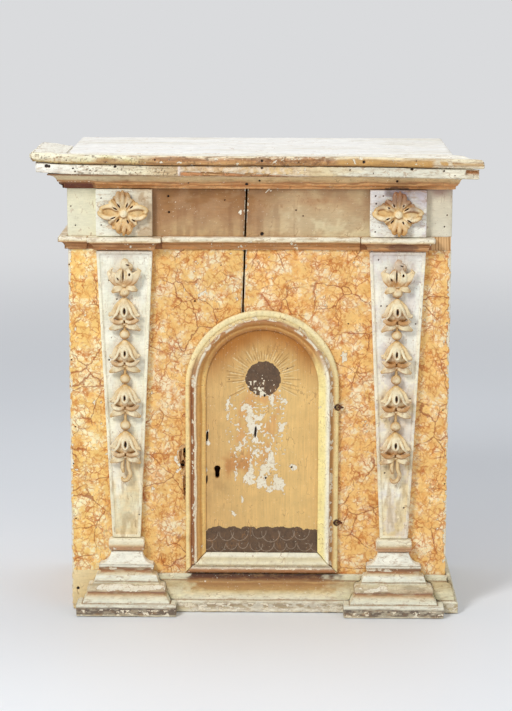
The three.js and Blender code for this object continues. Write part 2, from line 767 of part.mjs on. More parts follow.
// Room that the door's wood leaves round one hinge.
function hingeRoom(height) {
  const eyeRoom = HINGE_EYE + HINGE_WIRE + HINGE_CLEAR;
  const pocketBack = HINGE_WIRE + HINGE_CLEAR;
  const pocketFront = -FRAME_RELIEF;
  const pocket = rod(
    eyeRoom,
    new THREE.Vector3(-HINGE_EYE, pocketFront, 0),
    new THREE.Vector3(-HINGE_EYE, pocketBack, 0),
  );
  const swing = new THREE.CylinderGeometry(eyeRoom, eyeRoom, 2 * pocketBack, TURN_STEPS).rotateX(Math.PI / 2);
  return join(pocket, swing, eyeShank(GLUE_LINE)).translate(hingeX, hingeY, height);
}

function hingeStaples() {
  const [upper, lower] = hingeHeights.map(stapleShape);
  return [piece("hinge_staple_upper", upper, "rustyIron"), piece("hinge_staple_lower", lower, "rustyIron")];
}

// Door: drawn about its own middle line.
function keyhole(yFront, yBack) {
  const half = KEYHOLE_SLOT / 2;
  const slotAngle = Math.asin(half / KEYHOLE_RADIUS);
  const outline = new THREE.Shape();
  outline.moveTo(-half, -KEYHOLE_DROP);
  outline.lineTo(half, -KEYHOLE_DROP);
  outline.absarc(0, 0, KEYHOLE_RADIUS, slotAngle - Math.PI / 2, 1.5 * Math.PI - slotAngle, false);
  outline.closePath();
  const options = { depth: yBack - yFront, bevelEnabled: false, curveSegments: TURN_STEPS };
  const tool = new THREE.ExtrudeGeometry(outline, options).rotateX(Math.PI / 2);
  return tool.translate(keyX, yBack, keyZ);
}

function doorBoard() {
  const board = panel(archOutline(boardHalf, boardBottom), 0, DOOR_BOARD);
  const rooms = hingeHeights.map(hingeRoom);
  return piece("door_board", cut(board, keyhole(-OVERCUT, DOOR_BOARD + OVERCUT), ...rooms), "ochreGold");
}

function doorArch(face) {
  const outline = closeSection(face);
  const rings = Array.from({ length: ARCH_STEPS + 1 }, (_, step) => {
    const angle = (step / ARCH_STEPS) * Math.PI;
    return outline.map(({ x: relief, y: inward }) => {
      const radius = doorHalf - inward;
      return new THREE.Vector3(radius * Math.cos(angle), -relief, springLine + radius * Math.sin(angle));
    });
  });
  return piece("door_arch_moulding", loft(outline, rings), "ochreGold");
}

function doorStiles(face) {
  const head = springLine - GLUE_LINE;
  const foot = doorBottom + MITRE_GAP;
  const left = straightRun(face, () => -head, (point) => -foot - point.y);
  left.rotateY(Math.PI / 2).translate(-doorHalf, 0, 0);
  const right = straightRun(face, (point) => foot + point.y, () => head);
  right.rotateY(-Math.PI / 2).translate(doorHalf, 0, 0);
  const rooms = hingeHeights.map(hingeRoom);
  return [
    piece("door_stile_left", left, "ochreGold"),
    piece("door_stile_right", cut(right, ...rooms), "ochreGold"),
  ];
}

function doorRail(face) {
  const rail = straightRun(face, (point) => point.y - doorHalf, (point) => doorHalf - point.y);
  return piece("door_rail_bottom", rail.translate(0, 0, doorBottom), "ochreGold");
}

// Lock: an open tray on the back of the door, closed by a cap. A leaf spring bears on the bolt, and a stud
// in the bolt's slot guides it and stops it at both ends of its throw.
const lockLeft = DOOR_SWING_ROOM - boardHalf;
const lockRight = lockLeft + LOCK_WIDTH;
const lockFront = DOOR_BOARD + GLUE_LINE;
const lockBack = lockFront + LOCK_DEPTH;
const lockBottom = keyZ - LOCK_BELOW_KEY;
const lockTop = keyZ + LOCK_ABOVE_KEY;
const boltFront = lockFront + LOCK_PLATE + GLUE_LINE;
const boltBottom = keyZ + BOLT_ABOVE_KEY;
const boltLeft = lockLeft + GLUE_LINE;
const boltRight = boltLeft + BOLT_LENGTH;
const boltBack = boltFront + BOLT_THICKNESS;
const boltTop = boltBottom + BOLT_HEIGHT;
const studZ = boltBottom + BOLT_HEIGHT / 2;
const studX = boltRight - STUD_FROM_TAIL;

function lockCase() {
  const tray = block([lockLeft, lockFront, lockBottom], [lockRight, lockBack, lockTop]);
  const hollow = block(
    [lockLeft + LOCK_PLATE, lockFront + LOCK_PLATE, lockBottom + LOCK_PLATE],
    [lockRight - LOCK_PLATE, lockBack + OVERCUT, lockTop - LOCK_PLATE],
  );
  const boltHole = block(
    [lockLeft - OVERCUT, boltFront - GLUE_LINE, boltBottom - GLUE_LINE],
    [lockLeft + LOCK_PLATE + OVERCUT, boltBack + GLUE_LINE, boltTop + GLUE_LINE],
  );
  const shell = cut(tray, hollow, boltHole, keyhole(lockFront - OVERCUT, lockFront + LOCK_PLATE + OVERCUT));
  const stud = rod(
    STUD_RADIUS,
    new THREE.Vector3(studX, lockFront + LOCK_PLATE / 2, studZ),
    new THREE.Vector3(studX, boltBack + STUD_HEAD, studZ),
  );
  return piece("lock_case", join(shell, stud), "rustyIron");
}

function lockCap() {
  const front = lockBack + GLUE_LINE;
  const plate = block([lockLeft, front, lockBottom], [lockRight, front + LOCK_CAP, lockTop]);
  return piece("lock_cap", plate, "rustyIron");
}

function keyPost() {
  const front = new THREE.Vector3(keyX, lockFront + LOCK_PLATE + 2 * GLUE_LINE, keyZ);
  const back = new THREE.Vector3(keyX, lockBack, keyZ);
  return piece("lock_key_post", rod(KEY_POST_RADIUS, front, back), "rustyIron");
}

function lockSpring() {
  const foot = boltTop + GLUE_LINE;
  const head = lockTop - LOCK_PLATE - GLUE_LINE;
  const right = lockRight - LOCK_PLATE - GLUE_LINE;
  const left = right - SPRING_LENGTH;
  const outline = polygon([
    [left, foot],
    [left + SPRING_FOOT, foot],
    [right - SPRING_FOOT, head - SPRING_STRIP],
    [right, head - SPRING_STRIP],
    [right, head],
    [right - SPRING_FOOT - SPRING_STRIP, head],
    [left + SPRING_FOOT, foot + SPRING_STRIP],
    [left, foot + SPRING_STRIP],
  ]);
  const back = (boltFront + boltBack + SPRING_WIDTH) / 2;
  return piece("lock_spring", panel(outline, back - SPRING_WIDTH, back), "springSteel");
}

function lockBolt() {
  const bar = block([boltLeft, boltFront, boltBottom], [boltRight, boltBack, boltTop]);
  const talon = block(
    [keyX - TALON_WIDTH / 2, boltFront - OVERCUT, boltBottom - OVERCUT],
    [keyX + TALON_WIDTH / 2, boltBack + OVERCUT, boltBottom + TALON_DEPTH],
  );
  const slotHalf = STUD_RADIUS + GLUE_LINE;
  const slot = block(
    [studX - slotHalf, boltFront - OVERCUT, studZ - slotHalf],
    [studX + slotHalf + BOLT_THROW, boltBack + OVERCUT, studZ + slotHalf],
  );
  return piece("lock_bolt", cut(bar, talon, slot), "rustyIron");
}

function door() {
  const leaf = new THREE.Group();
  const face = doorFrameFace();
  leaf.add(
    doorBoard(),
    doorArch(face),
    ...doorStiles(face),
    doorRail(face),
    doorEye("hinge_eye_upper", hingeHeights[0]),
    doorEye("hinge_eye_lower", hingeHeights[1]),
    lockCase(),
    lockCap(),
    keyPost(),
    lockSpring(),
    lockBolt(),
  );
  leaf.position.x = doorCenter;
  return leaf;
}

// The origin of the finished part lies on the floor, under the middle of its outer box.
function tabernacle() {
  const whole = new THREE.Group();
  whole.add(
    ...frontPlanks(),
    ...sideBoards(),
    ...backPlanks(),
    deckBoard(),
    floorBoard(),
    ...floorCleats(),
    ...cornice(),
    ...architrave(),
    ...baseMouldings(),
    pilasterOrder(-1),
    pilasterOrder(1),
    ...hingeStaples(),
    door(),
  );
  const leftReach = -halfBody - CORNICE_LEFT_OUT;
  const rightReach = halfBody + CROWN_OUT;
  whole.position.set(-(leftReach + rightReach) / 2, -(BODY_DEPTH - CROWN_OUT) / 2, 0);
  return whole;
}

export default tabernacle();
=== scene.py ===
"""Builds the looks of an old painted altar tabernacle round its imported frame.

The shaping code works in millimetres, measured from the middle of the body, the face of the front planks and the
foot: x to the right, y into the cupboard, z up. Each skin is moved into the frame's own place when it is written.
"""

import math

import bmesh
import bpy
import numpy as np
from mathutils import Matrix, Vector


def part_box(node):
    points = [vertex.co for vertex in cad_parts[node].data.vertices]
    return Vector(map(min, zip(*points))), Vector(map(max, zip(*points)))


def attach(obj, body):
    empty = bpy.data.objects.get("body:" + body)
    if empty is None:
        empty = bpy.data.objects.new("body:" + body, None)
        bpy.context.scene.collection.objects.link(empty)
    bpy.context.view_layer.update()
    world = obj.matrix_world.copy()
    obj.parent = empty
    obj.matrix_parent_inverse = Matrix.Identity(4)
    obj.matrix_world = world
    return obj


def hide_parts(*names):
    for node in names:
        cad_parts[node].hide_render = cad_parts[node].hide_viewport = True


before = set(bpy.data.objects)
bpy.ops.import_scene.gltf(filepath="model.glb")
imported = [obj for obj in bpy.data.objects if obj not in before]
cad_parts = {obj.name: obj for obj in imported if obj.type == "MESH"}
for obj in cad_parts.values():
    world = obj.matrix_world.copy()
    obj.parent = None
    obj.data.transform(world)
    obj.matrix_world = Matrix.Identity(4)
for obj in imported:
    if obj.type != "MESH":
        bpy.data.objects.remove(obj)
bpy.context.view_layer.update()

bl_info = {
    "name": "Altar tabernacle",
    "version": (1, 0, 0),
    "blender": (4, 5, 0),
    "location": "View3D > Sidebar > Tabernacle",
    "description": "Builds a painted and worn altar tabernacle round its packed frame",
    "category": "Object",
}

MM = 1000.0
deck_low, deck_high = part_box("deck_board")
BENCH = np.array([(deck_low.x + deck_high.x) / 2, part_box("front_plank_left")[0].y, 0.0]) * MM


def linear(text):
    """An sRGB hex colour as linear red, green, blue and alpha."""
    parts = [int(text[i : i + 2], 16) / 255 for i in (1, 3, 5)]
    return tuple(c / 12.92 if c <= 0.04045 else ((c + 0.055) / 1.055) ** 2.4 for c in parts) + (1.0,)


def node_box(name):
    """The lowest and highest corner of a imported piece, in millimetres on the bench."""
    low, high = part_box(name)
    return np.array(low) * MM - BENCH, np.array(high) * MM - BENCH


# Levels and places taken from the frame
CROWN_LOW, CROWN_HIGH = node_box("cornice_crown_front")
CORONA_LOW = node_box("cornice_corona_front")[0]
BED_LOW, BED_HIGH = node_box("cornice_bed_front")
CAP_LOW, CAP_HIGH = node_box("architrave_cap_left")
BASE_LOW, BASE_HIGH = node_box("base_moulding_center")
ARCH_LOW, ARCH_HIGH = node_box("door_arch_moulding")
RAIL_LOW, RAIL_HIGH = node_box("door_rail_bottom")
DOOR_MIDDLE = (ARCH_LOW[0] + ARCH_HIGH[0]) / 2
DOOR_HALF = (ARCH_HIGH[0] - ARCH_LOW[0]) / 2
SPRING_LINE = ARCH_LOW[2]
PANEL_FOOT = RAIL_HIGH[2]


def length(name, description, default):
    return bpy.props.FloatProperty(name=name, description=description, default=default, unit="LENGTH")


def colour(name, description, text):
    return bpy.props.FloatVectorProperty(
        name=name, description=description, default=linear(text), size=4, subtype="COLOR", min=0, max=1
    )


class Sizes(bpy.types.PropertyGroup):
    """Sizes of the detail that the skins carry."""

    moulding_pitch: length("Moulding mesh", "Width of one face on the mouldings", 0.0011)
    board_pitch: length("Board mesh", "Width of one face on the broad boards", 0.0026)
    carving_pitch: length("Carving mesh", "Width of one face on the carved ornament", 0.0007)
    gesso_depth: length("Paint loss", "How deep a flake of paint and gesso leaves a hollow", 0.0006)
    wood_depth: length("Wood loss", "How much further the wood lies back where all gesso is gone", 0.0009)
    cornice_rise: length("Cornice rise", "How far the cornice has warped up at its left end", 0.0055)
    disc_radius: length("Host", "Radius of the silvered host on the door", 0.0278)
    cloud_height: length("Cloud bank", "Height of the silvered clouds above the door's bottom rail", 0.041)


class Paints(bpy.types.PropertyGroup):
    """Colours of the paint, gesso, wood and metal."""

    marble_ground: colour("Marble ground", "Warm yellow of the imitation marble", "#FAD082")
    marble_light: colour("Marble light", "Pale clouds in the imitation marble", "#FCF1CC")
    marble_orange: colour("Marble orange", "Orange blotches in the imitation marble", "#EAA24A")
    marble_vein: colour("Marble vein", "Veins of the imitation marble", "#A0521E")
    gesso: colour("Gesso", "Chalk ground laid bare", "#F6F1E1")
    # This grime colour is also the painted shade that the paints lay in every hollow.
    grime_and_painted_shade: colour("Grime", "Candle grease and dust in the hollows", "#9A6A3C")
    pine_light: colour("Pine light", "Early wood of the bare pine", "#E6BC86")
    pine_dark: colour("Pine dark", "Late wood of the bare pine", "#A8743F")
    silver_line: colour("Silver line", "Incised lines in the silver leaf", "#A8937C")
    iron: colour("Iron", "Forged iron under the rust", "#3B2E28")
    rust: colour("Rust", "Rust on the iron", "#7C4A2C")
    steel: colour("Spring steel", "Rolled steel of the lock's spring", "#6F6A63")
    floor: colour("Floor", "Studio floor and backdrop", "#F0F3F6")


# Noise and steps


def scatter(cells, seed):
    """A number from 0 to 1 for each lattice cell, always the same for the same cell and seed."""
    mixed = cells[:, 0] * 73856093 ^ cells[:, 1] * 19349663 ^ cells[:, 2] * 83492791 ^ (seed + 7) * 26544357
    mixed = (mixed ^ (mixed >> 13)) * 1274126177
    mixed = mixed ^ (mixed >> 16)
    return (mixed & 0xFFFF) / 0xFFFF


def lumps(points, size, seed):
    """Smooth noise from 0 to 1. The size of its lumps is in millimetres, one number or one for each axis."""
    scaled = points / size
    cells = np.floor(scaled).astype(np.int64)
    part = scaled - cells
    ease = part * part * (3 - 2 * part)
    total = np.zeros(len(points))
    for corner in range(8):
        step = np.array([corner & 1, corner >> 1 & 1, corner >> 2 & 1])
        total += np.where(step, ease, 1 - ease).prod(axis=1) * scatter(cells + step, seed)
    return total


def mottle(points, size, seed):
    """Noise in three sizes, each finer and fainter than the one before."""
    size = np.asarray(size, float)
    return (
        0.55 * lumps(points, size, seed)
        + 0.3 * lumps(points, size / 2.3, seed + 11)
        + 0.15 * lumps(points, size / 5.1, seed + 23)
    )


def sway(points, size, seed):
    """Mottle round 0, which pushes a border about."""
    return mottle(points, size, seed) - 0.5


def rise(low, high, value):
    """0 below low, 1 above high, and a smooth step between."""
    part = np.clip((value - low) / (high - low), 0, 1)
    return part * part * (3 - 2 * part)


def fall(low, high, value):
    """1 below low, 0 above high, and a smooth step between."""
    return 1 - rise(low, high, value)


def within(start, full, last, end, value):
    """1 from full to last, 0 before start and after end, and smooth steps between."""
    return rise(start, full, value) * fall(last, end, value)


def patches(points, size, seed, low, high):
    """1 in the patches where the mottle is above high, 0 where it is below low."""
    return rise(low, high, mottle(points, size, seed))


def spot(points, x, z, reach_x, reach_z, seed=0, ragged=0.35):
    """1 inside a ragged patch seen from the front, 0 outside it, with a narrow soft edge."""
    away = np.hypot((points[:, 0] - x) / reach_x, (points[:, 2] - z) / reach_z)
    return fall(0.85, 1.1, away + 2.4 * ragged * sway(points, min(reach_x, reach_z) * 0.7 + 2, seed + 41))


def bands(value, stops):
    """Linear colours for values, from a hex colour at each stop, in rising order."""
    colours = np.array([linear(text)[:3] for text in stops.values()])
    return np.stack([np.interp(value, list(stops), colours[:, i]) for i in range(3)], axis=1)


def blend(first, second, share):
    return first + share[:, None] * (second - first)


def shade(colours, *coats):
    """Colours moved towards the hex colour of one coat after another, by the coat's share for each point."""
    for share, text in coats:
        colours = blend(colours, np.array(linear(text)[:3]), share)
    return colours


# Skins

FINE_ROUNDS, BROAD_ROUNDS = 6, 36  # of relaxing, which show the fine and the broad form


def packed_form(name):
    """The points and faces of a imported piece, in millimetres on the bench."""
    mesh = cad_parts[name].data
    points = np.zeros(len(mesh.vertices) * 3)
    mesh.vertices.foreach_get("co", points)
    return points.reshape(-1, 3) * MM - BENCH, [tuple(face.vertices) for face in mesh.polygons]


class Skin:
    """One closed skin of even quads round some closed forms."""

    def __init__(self, name, forms, pitch):
        points, faces, start = [], [], 0
        for form_points, form_faces in forms:
            points.append(form_points)
            faces += [tuple(i + start for i in face) for face in form_faces]
            start += len(form_points)
        rough = bpy.data.meshes.new(name + "_rough")
        rough.from_pydata(((np.concatenate(points) + BENCH) / MM).tolist(), [], faces)
        block = bpy.data.objects.new(name + "_rough", rough)
        bpy.context.scene.collection.objects.link(block)
        remesh = block.modifiers.new("Even quads", "REMESH")
        remesh.mode = "VOXEL"
        remesh.voxel_size = pitch
        evaluated = block.evaluated_get(bpy.context.evaluated_depsgraph_get())
        self.mesh = bpy.data.meshes.new_from_object(evaluated)
        self.mesh.name = name
        bpy.data.objects.remove(block)
        bpy.data.meshes.remove(rough)
        self.object = bpy.data.objects.new(name, self.mesh)
        bpy.context.scene.collection.objects.link(self.object)
        self.pitch = pitch * MM
        self.read()

    def read(self):
        """Takes the points and their links from the mesh."""
        points = np.zeros(len(self.mesh.vertices) * 3)
        self.mesh.vertices.foreach_get("co", points)
        self.points = points.reshape(-1, 3) * MM - BENCH
        links = np.zeros(len(self.mesh.edges) * 2, np.int32)
        self.mesh.edges.foreach_get("vertices", links)
        self.links = links.reshape(-1, 2)
        self.tight = 0
        self.bored = 0

    def refine(self, chosen):
        """Cuts the faces at the chosen points into four."""
        self.write()
        form = bmesh.new()
        form.from_mesh(self.mesh)
        form.verts.ensure_lookup_table()
        marked = [face for face in form.faces if all(chosen[v.index] for v in face.verts)]
        edges = list({edge for face in marked for edge in face.edges})
        bmesh.ops.subdivide_edges(form, edges=edges, cuts=1, use_grid_fill=True)
        form.to_mesh(self.mesh)
        form.free()
        self.read()

    def write(self):
        """Puts the points back into the mesh."""
        self.mesh.vertices.foreach_set("co", ((self.points + BENCH) / MM).ravel())
        self.mesh.update()

    def normals(self):
        """The outward direction at each point."""
        self.write()
        found = np.zeros(len(self.points) * 3)
        self.mesh.vertices.foreach_get("normal", found)
        return found.reshape(-1, 3)

    def relaxed(self, rounds):
        """The points after each has moved half way to the middle of its neighbours a number of times."""
        first, second = self.links.T
        count = len(self.points)
        near = np.bincount(first, minlength=count) + np.bincount(second, minlength=count)
        points = self.points.copy()
        for _ in range(rounds):
            for axis in range(3):
                line = points[:, axis]
                total = np.bincount(first, line[second], count) + np.bincount(second, line[first], count)
                points[:, axis] = line + 0.5 * (total / near - line)
        return points

    def read_form(self):
        """Finds the crests, where wear begins and the paint lays a painted highlight, and the hollows, where dirt stays
        and the paint lays painted shade.
        """
        normals = self.normals()
        near = ((self.points - self.relaxed(FINE_ROUNDS)) * normals).sum(axis=1) / self.pitch
        broad = ((self.points - self.relaxed(BROAD_ROUNDS)) * normals).sum(axis=1) / self.pitch
        self.crest = np.maximum(rise(0.12, 0.7, near), 0.6 * rise(0.5, 2.0, broad)) * (1 - self.tight)
        self.hollow = np.maximum(rise(0.08, 0.5, -near), 0.75 * rise(0.35, 1.6, -broad)) * (1 - self.tight)
        return normals

    def mark(self, name, values):
        """Keeps a number for each point, which the paint reads."""
        layer = self.mesh.attributes.new(name, "FLOAT", "POINT")
        layer.data.foreach_set("value", np.asarray(values, np.float32))

    def tint(self, name, colours):
        """Keeps a colour for each point, which the paint reads."""
        layer = self.mesh.attributes.new(name, "FLOAT_COLOR", "POINT")
        layer.data.foreach_set("color", np.hstack([colours, np.ones((len(colours), 1))]).astype(np.float32).ravel())

    def finish(self, paint, body, node):
        """Writes the skin, gives it its paint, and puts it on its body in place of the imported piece."""
        self.write()
        self.mesh.materials.clear()
        self.mesh.materials.append(bpy.data.materials[paint])
        self.mesh.shade_smooth()
        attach(self.object, body)
        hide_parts(node)


def weather(skin, seed, flaking=0.3, bare=0.2, edge=0.22, uneven=0.35, chipped=0.0, holes=(), more_loss=0.0,
            more_wood=0.0):
    """Ages a painted skin: it grows uneven, its edges chip, its paint flakes to the gesso, its gesso to the wood, and
    beetles bore it. Flaking and bare are how ready each layer is to go, and chipped is the depth of the chips.
    Each hole has x, z and a radius, seen from the front."""
    sizes = bpy.context.scene.tabernacle_sizes
    normals = skin.read_form()
    points = skin.points
    fine = mottle(points, 5, seed + 3)
    ready = 0.5 * mottle(points, 17, seed) + 0.5 * fine + edge * skin.crest
    loss = rise(0.0, 0.05, ready + more_loss - (1.0 - flaking))
    deep = 0.55 * mottle(points, 21, seed + 5) + 0.45 * fine + 0.6 * edge * skin.crest
    skin.wood = rise(0.0, 0.05, deep + more_wood - (1.0 - bare))
    skin.loss = np.maximum(loss, skin.wood)
    pit = np.zeros(len(points))
    depth = np.zeros(len(points))
    facing = rise(0.3, 0.6, -normals[:, 1])
    for x, z, radius in holes:
        hole = fall(0.6, 1.15, np.hypot(points[:, 0] - x, points[:, 2] - z) / radius) * facing
        pit = np.maximum(pit, hole)
        depth = np.maximum(depth, hole * min(3.0, 1.6 * radius))
    skin.pit = np.maximum(pit, skin.bored)
    swell = sway(points, 45, seed + 7) * 2 * uneven - uneven
    grain = (fine - 0.5) * 0.3
    sink = skin.loss * sizes.gesso_depth * MM + skin.wood * sizes.wood_depth * MM
    chips = chipped * skin.crest * rise(0.46, 0.66, 0.6 * mottle(points, 9, seed + 9) + 0.4 * fine)
    skin.points = points + normals * ((swell * 0.5 + grain - sink - chips) * (1 - skin.tight))[:, None]
    skin.points[:, 1] += depth
    return normals


def growth(points, seed):
    """How far each point lies from the heart of its tree, in millimetres, and whether it lies in a knot. The wood
    runs along the longest side of a piece, and its year lines bow out round the knots."""
    low, high = points.min(axis=0), points.max(axis=0)
    size = high - low
    thick, wide, along = np.argsort(size)
    rng = np.random.default_rng(seed)
    drawn_out = np.full(3, 70.0)
    drawn_out[along] = 320.0
    drift = 34 * (lumps(points, drawn_out, seed + 3) - 0.5)
    aside = points[:, wide] - (low[wide] + high[wide]) / 2 - rng.uniform(-0.3, 0.3) * size[wide] + drift
    down = rng.uniform(22, 45) + 0.075 * (points[:, along] - low[along]) + points[:, thick] - low[thick]
    heart = np.hypot(aside, down) + 3 * (lumps(points, drawn_out / 4, seed + 4) - 0.5)
    knots = np.zeros(len(points))
    for _ in range(int(size[wide] * size[along] / 42000)):
        place = low + size * rng.uniform(0.12, 0.88, 3)
        away = np.hypot(points[:, wide] - place[wide], 0.6 * (points[:, along] - place[along]))
        heart += 14 * np.exp(-((away / 16) ** 2))
        knots = np.maximum(knots, fall(4.5, 8, away))
    return heart, knots


def record_wear(skin, seed):
    """Keeps all marks of age for the paint, and the growth of the wood below it."""
    heart, knots = growth(skin.points, seed)
    for name, values in (
        ("Loss", skin.loss), ("Wood", skin.wood), ("Pit", skin.pit), ("Crest", skin.crest), ("Hollow", skin.hollow),
        ("Heart", heart), ("Knot", knots),
    ):
        skin.mark(name, values)


# Paint: how each finish is mixed. Sizes of patterns are in metres.

SMOOTH = {"interpolation_type": "SMOOTHSTEP"}
RGBA = {"data_type": "RGBA"}
TIMES = {"operation": "MULTIPLY"}
TIMES_PLUS = {"operation": "MULTIPLY_ADD"}
MINUS = {"operation": "SUBTRACT"}
YEAR_WIDTH = 4.0  # millimetres, as the Heart mark is


def add(tree, kind, feeds=None, **settings):
    """Adds a node. Feeds give its sockets a hex colour, a value, a link, or a node whose first output is linked,
    and settings are its own."""
    made = tree.nodes.new("ShaderNode" + kind)
    for name, value in settings.items():
        setattr(made, name, value)
    for socket, value in (feeds or {}).items():
        if isinstance(value, bpy.types.Node):
            value = next(output for output in value.outputs if output.enabled)
        if isinstance(value, bpy.types.NodeSocket):
            tree.links.new(value, made.inputs[socket])
        else:
            made.inputs[socket].default_value = linear(value) if isinstance(value, str) else value
    return made


def new_material(name):
    material = bpy.data.materials.new(name)
    material.use_nodes = True
    material.node_tree.nodes.clear()
    return material


def finish_surface(tree, colour, roughness, height, depth, metallic=0.0):
    """Joins colour, roughness and relief into the surface."""
    bump = add(tree, "Bump", {"Height": height, "Distance": depth, "Strength": 0.7})
    feeds = {"Base Color": colour, "Roughness": roughness, "Normal": bump, "Metallic": metallic}
    return add(tree, "BsdfPrincipled", feeds)


def pine(tree, place, along, dust):
    """Bare pine: each year's pale early wood darkens into a line of late wood and then ends at once. The lines lie
    4 mm apart, straight at a board's edges and in long flames along its middle. Dust greys and browns old boards."""
    paints = bpy.context.scene.tabernacle_paints
    heart, knot = (add(tree, "Attribute", attribute_name=mark).outputs["Fac"] for mark in ("Heart", "Knot"))
    across, down = 1 / 0.0028, 1 / 0.07
    stretch = {"X": (down, across, across), "Y": (across, down, across), "Z": (across, across, down)}[along]
    run = add(tree, "VectorMath", {0: place, 1: stretch}, **TIMES)
    fibres = add(tree, "TexNoise", {"Vector": run, "Scale": 1.0, "Detail": 3.0})
    wavy = add(tree, "Math", {0: fibres, 1: 1.1, 2: heart}, **TIMES_PLUS)
    years = add(tree, "Math", {0: wavy, 1: 1 / YEAR_WIDTH}, **TIMES)
    season = add(tree, "Math", {0: years}, operation="FRACT")
    late = add(tree, "MapRange", {0: season, 1: 0.3, 2: 0.86}, **SMOOTH)
    winter = add(tree, "MapRange", {0: season, 1: 0.9, 2: 1.0, 3: 1.0, 4: 0.0})
    ring = add(tree, "Math", {0: late, 1: winter}, **TIMES)
    which = add(tree, "Math", {0: years}, operation="FLOOR")
    dry = add(tree, "TexWhiteNoise", {"W": which}, noise_dimensions="1D")
    kept = add(tree, "MapRange", {0: dry, 3: 0.3, 4: 0.95})
    ring = add(tree, "Math", {0: ring, 1: kept}, **TIMES)
    stain = add(tree, "TexNoise", {"Vector": place, "Scale": 1 / 0.06, "Detail": 3.0})
    both = add(tree, "Math", {0: stain, 1: 0.5, 2: ring}, **TIMES_PLUS)
    worn = add(tree, "Math", {0: fibres, 1: 0.6, 2: both}, **TIMES_PLUS)
    share = add(tree, "Math", {0: worn, 1: 0.42}, use_clamp=True, **MINUS)
    wood = add(tree, "Mix", {0: share, 6: paints.pine_light, 7: paints.pine_dark}, **RGBA)
    wood = add(tree, "Mix", {0: knot, 6: wood, 7: "#6E4424"}, **RGBA)
    if dust:
        film = add(tree, "MapRange", {0: stain, 1: 0.32, 2: 0.7, 3: 0.3 * dust, 4: dust})
        wood = add(tree, "Mix", {0: film, 6: wood, 7: "#93775A"}, **RGBA)
    return wood, ring


